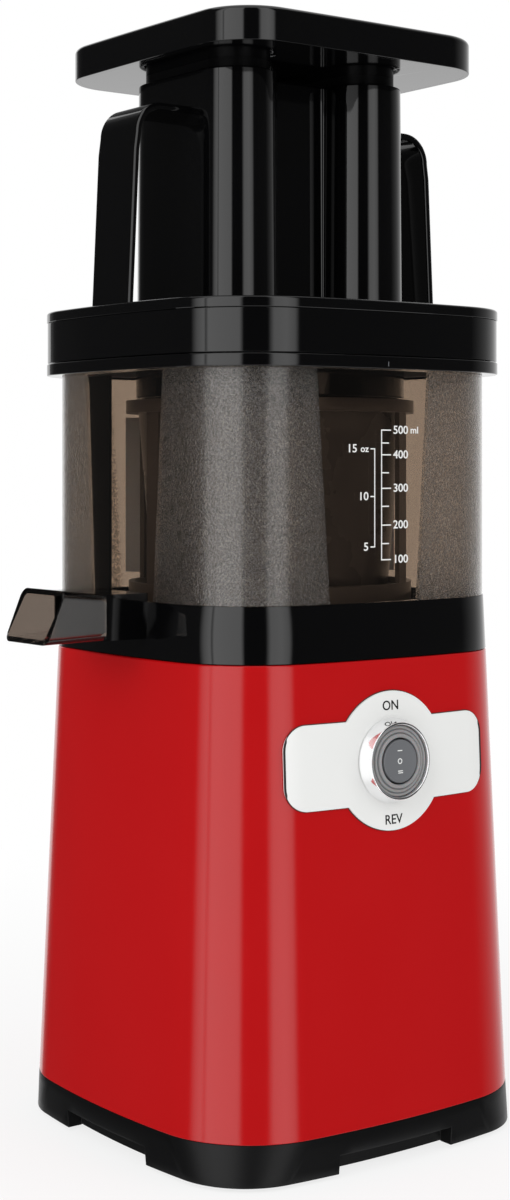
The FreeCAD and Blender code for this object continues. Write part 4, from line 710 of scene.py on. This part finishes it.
# Printed scale: x of its two upright lines, and heights and words of the marks
PRINT_PROUD = 0.06
PRINT_THICK = 0.05
PRINT_SIZE = 4.3
PRINT_BOLD = 0.05
PRINT_STRETCH = 1.15
LINE = 0.45
ML_AXIS = -1.6
ML_TICK_END = 3.0
ML_MINOR_END = 2.0
ML_WORD = 4.0
ML_UNIT = 12.6
OZ_AXIS = -4.9
OZ_TICK = 2.0
OZ_WORD = OZ_AXIS - 2.9
OZ_WORD_BESIDE_UNIT = OZ_AXIS - 8.2
ML_MARKS = ((271.6, "500"), (262.4, "400"), (249.9, "300"), (236.2, "200"), (223.3, "100"))
ML_MINOR = (266.8, 255.7, 243.2, 229.3)
OZ_MARKS = ((264.6, "15"), (246.9, "10"), (228.2, "5"))
ALIGN_MARK = -3.6
ALIGN_HALF = 0.15


def bowed_front(node, x, proud):
    """Y of a node's bowed front face at x, a little proud of it."""
    return Box(node).y0 + x * x / (2 * SIDE_BULGE) - proud


def print_strip(name, x0, x1, z0, z1, node="juice_bowl", proud=PRINT_PROUD, thick=PRINT_THICK,
                slot="white_metal"):
    """Thin upright or level strip on a front face of the bowl or its rim."""
    points = []
    for back in (0.0, thick):
        points += [(x, bowed_front(node, x, proud) + back, z)
                   for x, z in ((x0, z0), (x1, z0), (x1, z1), (x0, z1))]
    faces = [(0, 1, 2, 3), (7, 6, 5, 4), (0, 4, 5, 1), (1, 5, 6, 2), (2, 6, 7, 3), (3, 7, 4, 0)]
    make_piece(name, points, faces, "bowl", slot)


def scale_word(name, text, size, x, z, align):
    front = Matrix.Translation((0, bowed_front("juice_bowl", x, PRINT_PROUD), 0))
    upright = front @ Matrix.Rotation(math.radians(90), 4, "X")
    word(name, text, size, (x, z, 0), upright, "bowl", "white_metal", PRINT_THICK, align,
         PRINT_BOLD, PRINT_STRETCH)


def make_scale():
    """Volume marks in millilitres and fluid ounces, and the mark on the rim."""
    half = LINE / 2
    for name, x, marks in (("ml_axis", ML_AXIS, ML_MARKS), ("oz_axis", OZ_AXIS, OZ_MARKS)):
        print_strip(name, x - half, x + half, marks[-1][0] - half, marks[0][0] + half)
    for z, text in ML_MARKS:
        print_strip("ml_tick_" + text, ML_AXIS + half, ML_TICK_END, z - half, z + half)
        scale_word("ml_" + text, text, PRINT_SIZE, ML_WORD, z, "LEFT")
    for k, z in enumerate(ML_MINOR, start=1):
        print_strip("ml_minor_%d" % k, ML_AXIS + half, ML_MINOR_END, z - half, z + half)
    for z, text in OZ_MARKS:
        print_strip("oz_tick_" + text, OZ_AXIS - OZ_TICK, OZ_AXIS - half, z - half, z + half)
        right = OZ_WORD_BESIDE_UNIT if text == "15" else OZ_WORD
        scale_word("oz_" + text, text, PRINT_SIZE, right, z, "RIGHT")
    scale_word("ml_unit", "ml", 3.6, ML_UNIT, ML_MARKS[0][0], "LEFT")
    scale_word("oz_unit", "oz", 3.5, OZ_WORD, OZ_MARKS[0][0] - 0.1, "RIGHT")
    low = Box("bowl_rim").z0
    print_strip("align_mark", ALIGN_MARK - ALIGN_HALF, ALIGN_MARK + ALIGN_HALF, low + 0.9, low + 2.6,
                "bowl_rim", 0.03, 0.1, "rocker_grey")


# Black strip inside the spout face, running along the far edge of its clear window
RIB_INNER = -65.5
RIB_NEAR = 11.5
RIB_FAR_TOP = 26.0
RIB_FAR_LOW = 21.0
RIB_TAPER = 0.8
RIB_LAP = 0.05


def make_window_edge_strip():
    """Upright black strip on the inside of the bowl's spout face, along the far edge of its clear window.
    """
    bowl = Box("juice_bowl")
    rings = []
    for far, z in ((RIB_FAR_LOW, bowl.z0 + 0.5), (RIB_FAR_TOP, bowl.z1 - 1.0)):
        face = bowl.x0 + BOWL_WALL + far * far / (2 * SIDE_BULGE) + RIB_LAP
        rings.append([(face, RIB_NEAR, z), (RIB_INNER, RIB_NEAR + RIB_TAPER, z),
                      (RIB_INNER, far - RIB_TAPER, z), (face, far, z)])
    points = rings[0] + rings[1]
    faces = grid(rings, False) + [(3, 2, 1, 0), (4, 5, 6, 7)]
    make_piece("window_edge_strip", points, faces, "bowl", "black_satin")


# Lid and chute

LID_WALL = 2.6
LID_PLATE = 4.0
LID_EASE = 1.0
LID_FOOT_EASE = 0.15
LOBE_PLACE = 31.1
LOBE_STRAIGHT = 19.3
LOBE_RADIUS = 15.8
LOBE_FLARE = 0.7
LOBE_WALL = 2.0
WEB_DEPTH = 15.0
WEB_FILLET = 2.0
CHUTE_TOP = 409.0
CHUTE_EASE = 0.8
CHUTE_STEPS = 12
FOOT_FLARE = 1.2
FOOT_LAP = 0.4
NECK_LAP = 0.2
NECK_RADIUS = 52.6
NECK_WALL = 2.4
BOSS_RADIUS = 9.0
BOSS_LOW = 300.0
PIN_BORE = 5.06


def chute_outline():
    """Two oblong columns joined by a web that is set back from them."""
    inner = LOBE_PLACE - LOBE_RADIUS
    centre = inner - WEB_FILLET
    half = arc(LOBE_PLACE, LOBE_STRAIGHT, LOBE_RADIUS, 0, 180, 28, True)
    half += arc(centre, WEB_DEPTH + WEB_FILLET, WEB_FILLET, 0, -90, 8, True)
    half += [(x, WEB_DEPTH) for x in (centre / 2, 0.0, -centre / 2)]
    half += arc(-centre, WEB_DEPTH + WEB_FILLET, WEB_FILLET, -90, -180, 8, True)
    half += arc(-LOBE_PLACE, LOBE_STRAIGHT, LOBE_RADIUS, 0, 180, 28, True)
    half += [(-LOBE_PLACE - LOBE_RADIUS, y) for y in (LOBE_STRAIGHT / 2, 0.0, -LOBE_STRAIGHT / 2)]
    end = [(LOBE_PLACE + LOBE_RADIUS, y) for y in (-LOBE_STRAIGHT / 2, 0.0, LOBE_STRAIGHT / 2)]
    return half + [(-x, -y) for x, y in half[:-3]] + end


def lid_levels(low, lid_top):
    """Heights and insets of the lid's plate, and of the chute, which flares where it meets the plate."""
    plate = [(low, LID_FOOT_EASE), (low + LID_FOOT_EASE, 0.0)] + eased(low, lid_top, 0.0, LID_EASE, 5)[6:]
    chute = [(lid_top - FOOT_LAP, -LOBE_FLARE - FOOT_FLARE), (lid_top, -LOBE_FLARE - FOOT_FLARE)]
    for k in range(1, 7):
        a = math.radians(90 * k / 6)
        rise, flare = FOOT_FLARE * (1 - math.cos(a)), FOOT_FLARE * (1 - math.sin(a))
        chute.append((lid_top + rise, -LOBE_FLARE - flare))
    start = lid_top + FOOT_FLARE
    for k in range(1, CHUTE_STEPS):
        share = k / CHUTE_STEPS
        chute.append((start + (CHUTE_TOP - start) * share, -LOBE_FLARE * (1 - share)))
    for k in range(6):
        a = math.radians(90 - 90 * k / 5)
        chute.append((CHUTE_TOP - CHUTE_EASE * (1 - math.cos(a)), CHUTE_EASE * (1 - math.sin(a))))
    return plate, chute


def tube_parts(radius, bore, low, top, ease, steps):
    """Round tube whose lower edges are eased."""
    return prism_parts(circle(radius, steps), [circle(bore, steps)], eased(low, top, ease, 0.0, 3)[:5])


def build_lid():
    """Lid plate and double chute with two throats, the neck and bearing below, and the band."""
    band = Box("lid_band")
    low, lid_width = band.z1, Box("bowl_rim").width
    plate_levels, chute_levels = lid_levels(low, low + LID_PLATE)
    throat_levels = [(z, max(0.0, inset)) for z, inset in chute_levels]
    throat_radius = LOBE_RADIUS - LOBE_WALL
    throats = [slot_outline(x, LOBE_STRAIGHT, throat_radius, 28) for x in (-LOBE_PLACE, LOBE_PLACE)]
    points, faces = joined_parts(
        prism_parts(square(lid_width, LID_CORNER), throats, plate_levels),
        prism_parts(chute_outline(), throats, chute_levels, throat_levels),
        tube_parts(NECK_RADIUS, NECK_RADIUS - NECK_WALL, Box("hopper_lid").z0, low + NECK_LAP, 0.5, 72),
        tube_parts(BOSS_RADIUS, PIN_BORE, BOSS_LOW, low + NECK_LAP, 0.4, 40))
    make_piece("lid_and_chute", points, faces, "hopper", "black_gloss", ["hopper_lid"])
    corner = LID_CORNER - (lid_width - band.width) / 2
    wall_ring("lid_skirt", band.width, corner, band.width - 2 * LID_WALL, corner - LID_WALL,
              band.z0, band.z1 - 0.1, 0.35, "hopper", "black_gloss", ["lid_band"])


HANDLE_THICK = 2.9
HANDLE_BEND = 12.0
HANDLE_TOP = 395.5
HANDLE_FOOT_REACH = 76.2
HANDLE_TOP_REACH = 72.5
HANDLE_EASE = 1.0


def handle_line(side, inset):
    """The strap's side view at a depth below its outer face, from the lid up and in to the chute."""
    low = Box("lid_band").z1 + LID_PLATE - 0.2
    straight = HANDLE_TOP - low - HANDLE_BEND
    radius = HANDLE_BEND - inset
    reach, top = HANDLE_TOP_REACH - inset, HANDLE_TOP - inset
    lean = (HANDLE_FOOT_REACH - HANDLE_TOP_REACH) / (HANDLE_TOP - low)
    foot = HANDLE_FOOT_REACH - inset
    start = [(foot - lean * straight * k / 10, low + straight * k / 10) for k in range(10)]
    bend = arc(reach - radius, top - radius, radius, 0, 90, 14, True)
    end = LOBE_PLACE + LOBE_RADIUS - 0.3
    run = [(reach - radius + (end - reach + radius) * k / 4, top) for k in range(1, 5)]
    return [(side * x, z) for x, z in start + bend + run]


def make_handle(side, name):
    """Flat strap with softly rounded long edges."""
    half = Box(name).y1
    ease, bevel = HANDLE_EASE, HANDLE_EASE * 0.3
    outline = [(0.0, half - ease), (bevel, half - bevel), (ease, half), (HANDLE_THICK - ease, half),
               (HANDLE_THICK - bevel, half - bevel), (HANDLE_THICK, half - ease)]
    outline += [(depth, -y) for depth, y in reversed(outline)]
    lines = [[(x, y, z) for x, z in handle_line(side, depth)] for depth, y in outline]
    loops = [[line[k] for line in lines] for k in range(len(lines[0]))]
    count = len(loops[0])
    points = [p for loop in loops for p in loop]
    faces = grid(loops, False)
    faces += [tuple(range(count))[::-1], tuple(range(len(points) - count, len(points)))]
    make_piece("strap" + name[6:], points, faces, "hopper", "black_gloss", [name])


PUSHER_CORNER = 22.7
PUSHER_WALL = 2.2
PUSHER_EASE = 2.2
PUSHER_CROWN = 0.3
# Rings of the crowned top: share of the outline and rise
CROWN_RINGS = ((0.75, 0.12), (0.45, 0.24), (0.2, 0.29), (0.02, 0.3))


def make_pusher():
    """Hollow cap, open below, with a softly rounded top edge and a slightly crowned top."""
    box = Box("pusher_cap")
    levels = eased(box.z0, box.z1 - PUSHER_CROWN, 0.4, PUSHER_EASE, 7)
    loops = [at_height(square(box.width - 2 * d, PUSHER_CORNER - d, PUSHER_BULGE), z) for z, d in levels]
    last = loops[-1]
    for share, rise in CROWN_RINGS:
        loops.append([(x * share, y * share, box.z1 - PUSHER_CROWN + rise) for x, y, z in last])
    under = box.z1 - PUSHER_WALL
    inner_plan = square(box.width - 2 * PUSHER_WALL, PUSHER_CORNER - PUSHER_WALL, PUSHER_BULGE)
    loops += [[(x * 0.02, y * 0.02, under) for x, y in inner_plan], at_height(inner_plan, under),
              at_height(inner_plan, box.z0)]
    ring_piece("pusher_shell", loops, "pusher", "black_gloss", ["pusher_cap"])


# Studio

def face_card(name, points, shader_material):
    mesh = bpy.data.meshes.new(name)
    mesh.from_pydata(points, [], [tuple(range(len(points)))])
    card = bpy.data.objects.new(name, mesh)
    bpy.context.scene.collection.objects.link(card)
    card.data.materials.append(shader_material)
    return card


FLOOR_NEAR = 0.12
FLOOR_FAR = 0.6
FLOOR_GLOW = 0.8
FLOOR_REACH = 12.0


def make_floor():
    """White floor that keeps the object's shadow near it and meets the white background far off."""
    made = bpy.data.materials.new("studio_floor")
    made.use_nodes = True
    tree = made.node_tree
    shader, output = tree.nodes["Principled BSDF"], tree.nodes["Material Output"]
    shader.inputs["Base Color"].default_value = (0.93, 0.93, 0.93, 1.0)
    shader.inputs["Roughness"].default_value = 0.7
    shader.inputs["Specular IOR Level"].default_value = 0.2
    place = tree.nodes.new("ShaderNodeTexCoord")
    length = tree.nodes.new("ShaderNodeVectorMath")
    length.operation = "LENGTH"
    tree.links.new(place.outputs["Object"], length.inputs["Vector"])
    fade = tree.nodes.new("ShaderNodeMapRange")
    fade.interpolation_type = "SMOOTHSTEP"
    fade.inputs["From Min"].default_value = FLOOR_NEAR
    fade.inputs["From Max"].default_value = FLOOR_FAR
    fade.inputs["To Min"].default_value = FLOOR_GLOW
    tree.links.new(length.outputs["Value"], fade.inputs["Value"])
    glow = tree.nodes.new("ShaderNodeEmission")
    glow.inputs["Strength"].default_value = 1.0
    mix = tree.nodes.new("ShaderNodeMixShader")
    tree.links.new(fade.outputs["Result"], mix.inputs["Fac"])
    tree.links.new(shader.outputs["BSDF"], mix.inputs[1])
    tree.links.new(glow.outputs["Emission"], mix.inputs[2])
    tree.links.new(mix.outputs["Shader"], output.inputs["Surface"])
    corners = [(x * FLOOR_REACH, y * FLOOR_REACH, 0) for x, y in ((-1, -1), (1, -1), (1, 1), (-1, 1))]
    face_card("floor", corners, made).visible_glossy = False


RING_RADIUS = 1.5
RING_LOW = -1.2
RING_TOP = 2.4
# Brightness of the studio wall by compass angle, from +Y towards +X, in degrees
STUDIO_WALL = ((0, 1.0), (30, 1.0), (66, 1.0), (100, 0.4), (126, 0.05), (167, 0.04), (172, 1.5), (181, 2.0),
               (194, 1.8), (200, 0.02), (225, 0.02), (229, 1.9), (262, 2.2), (264, 0.4), (266, 2.1),
               (274, 1.4), (281, 0.06), (330, 0.04), (346, 0.06), (357, 0.2))


def make_studio_wall():
    """Round wall of soft boxes and dark cards for reflections and for what shows through the bowl."""
    made = bpy.data.materials.new("studio_wall")
    made.use_nodes = True
    tree = made.node_tree
    tree.nodes.remove(tree.nodes["Principled BSDF"])
    place = tree.nodes.new("ShaderNodeTexCoord")
    split = tree.nodes.new("ShaderNodeSeparateXYZ")
    tree.links.new(place.outputs["Object"], split.inputs["Vector"])
    turn = math_node(tree, "ARCTAN2", split.outputs["X"], split.outputs["Y"])
    share = math_node(tree, "FRACT", math_node(tree, "DIVIDE", turn, 2 * math.pi))
    ramp = tree.nodes.new("ShaderNodeValToRGB")
    ramp.color_ramp.interpolation = "LINEAR"
    stops = ramp.color_ramp.elements
    peak = max(value for angle, value in STUDIO_WALL)
    for k, (angle, value) in enumerate(STUDIO_WALL):
        stop = stops[k] if k < 2 else stops.new(angle / 360)
        stop.position = angle / 360
        stop.color = (value / peak, value / peak, value / peak, 1.0)
    tree.links.new(share, ramp.inputs["Fac"])
    glow = tree.nodes.new("ShaderNodeEmission")
    glow.inputs["Strength"].default_value = peak
    tree.links.new(ramp.outputs["Color"], glow.inputs["Color"])
    tree.links.new(glow.outputs["Emission"], tree.nodes["Material Output"].inputs["Surface"])
    made.cycles.emission_sampling = "NONE"
    steps = 128
    loops = [at_height(circle(RING_RADIUS, steps), z) for z in (RING_LOW, RING_TOP)]
    mesh = bpy.data.meshes.new("studio_wall")
    mesh.from_pydata([p for loop in loops for p in loop], [], grid(loops, False))
    wall = bpy.data.objects.new("studio_wall", mesh)
    bpy.context.scene.collection.objects.link(wall)
    wall.data.materials.append(made)
    wall.visible_camera = False
    wall.visible_diffuse = False
    wall.visible_shadow = False
    wall.visible_volume_scatter = False


WORLD_LIGHT = 0.62


def make_world():
    """Even white surroundings, a little weaker as light than as background."""
    world = bpy.data.worlds.new("studio")
    bpy.context.scene.world = world
    world.use_nodes = True
    tree = world.node_tree
    light = tree.nodes.new("ShaderNodeLightPath")
    seen = math_node(tree, "MAXIMUM", light.outputs["Is Camera Ray"], light.outputs["Is Glossy Ray"])
    seen = math_node(tree, "MAXIMUM", seen, light.outputs["Is Transmission Ray"])
    back = tree.nodes["Background"]
    back.inputs["Color"].default_value = (1.0, 1.0, 1.0, 1.0)
    tree.links.new(mapped(tree, seen, new=(WORLD_LIGHT, 1.0)), back.inputs["Strength"])


LIGHT_AIM = (0, 0, 0.2)


def soft_box(name, place, width, height, power):
    light = bpy.data.lights.new(name, "AREA")
    light.shape = "RECTANGLE"
    light.size = width
    light.size_y = height
    light.energy = power
    box = bpy.data.objects.new(name, light)
    bpy.context.scene.collection.objects.link(box)
    box.location = place
    box.rotation_euler = (Vector(LIGHT_AIM) - Vector(place)).to_track_quat("-Z", "Y").to_euler()
    box.visible_glossy = False


CAMERA_PLACE = (-0.49924, -0.66341, 0.25877)
CAMERA_TURN = -36.965
CAMERA_LENS = 62.27
CAMERA_SHIFT = (-0.0128, -0.1129)


def make_camera():
    data = bpy.data.cameras.new("camera")
    data.lens = CAMERA_LENS
    data.sensor_width = 36.0
    data.sensor_fit = "AUTO"
    data.shift_x, data.shift_y = CAMERA_SHIFT
    data.clip_start = 0.02
    camera = bpy.data.objects.new("camera", data)
    bpy.context.scene.collection.objects.link(camera)
    camera.location = CAMERA_PLACE
    camera.rotation_euler = (math.radians(90), 0.0, math.radians(CAMERA_TURN))
    bpy.context.scene.camera = camera


def make_studio():
    make_floor()
    make_studio_wall()
    make_world()
    soft_box("key_light", (-1.5, -0.6, 1.3), 1.2, 1.6, 14.0)
    soft_box("fill_light", (1.1, -1.5, 1.2), 1.4, 1.4, 9.0)
    make_camera()
    bpy.context.scene.view_settings.view_transform = "Standard"


make_studio()
dress_nodes()
make_housing()
make_switch()
make_bowl()
make_spout()
make_scale()
make_window_edge_strip()
build_lid()
make_handle(-1, "handle_left")
make_handle(1, "handle_right")
make_pusher()
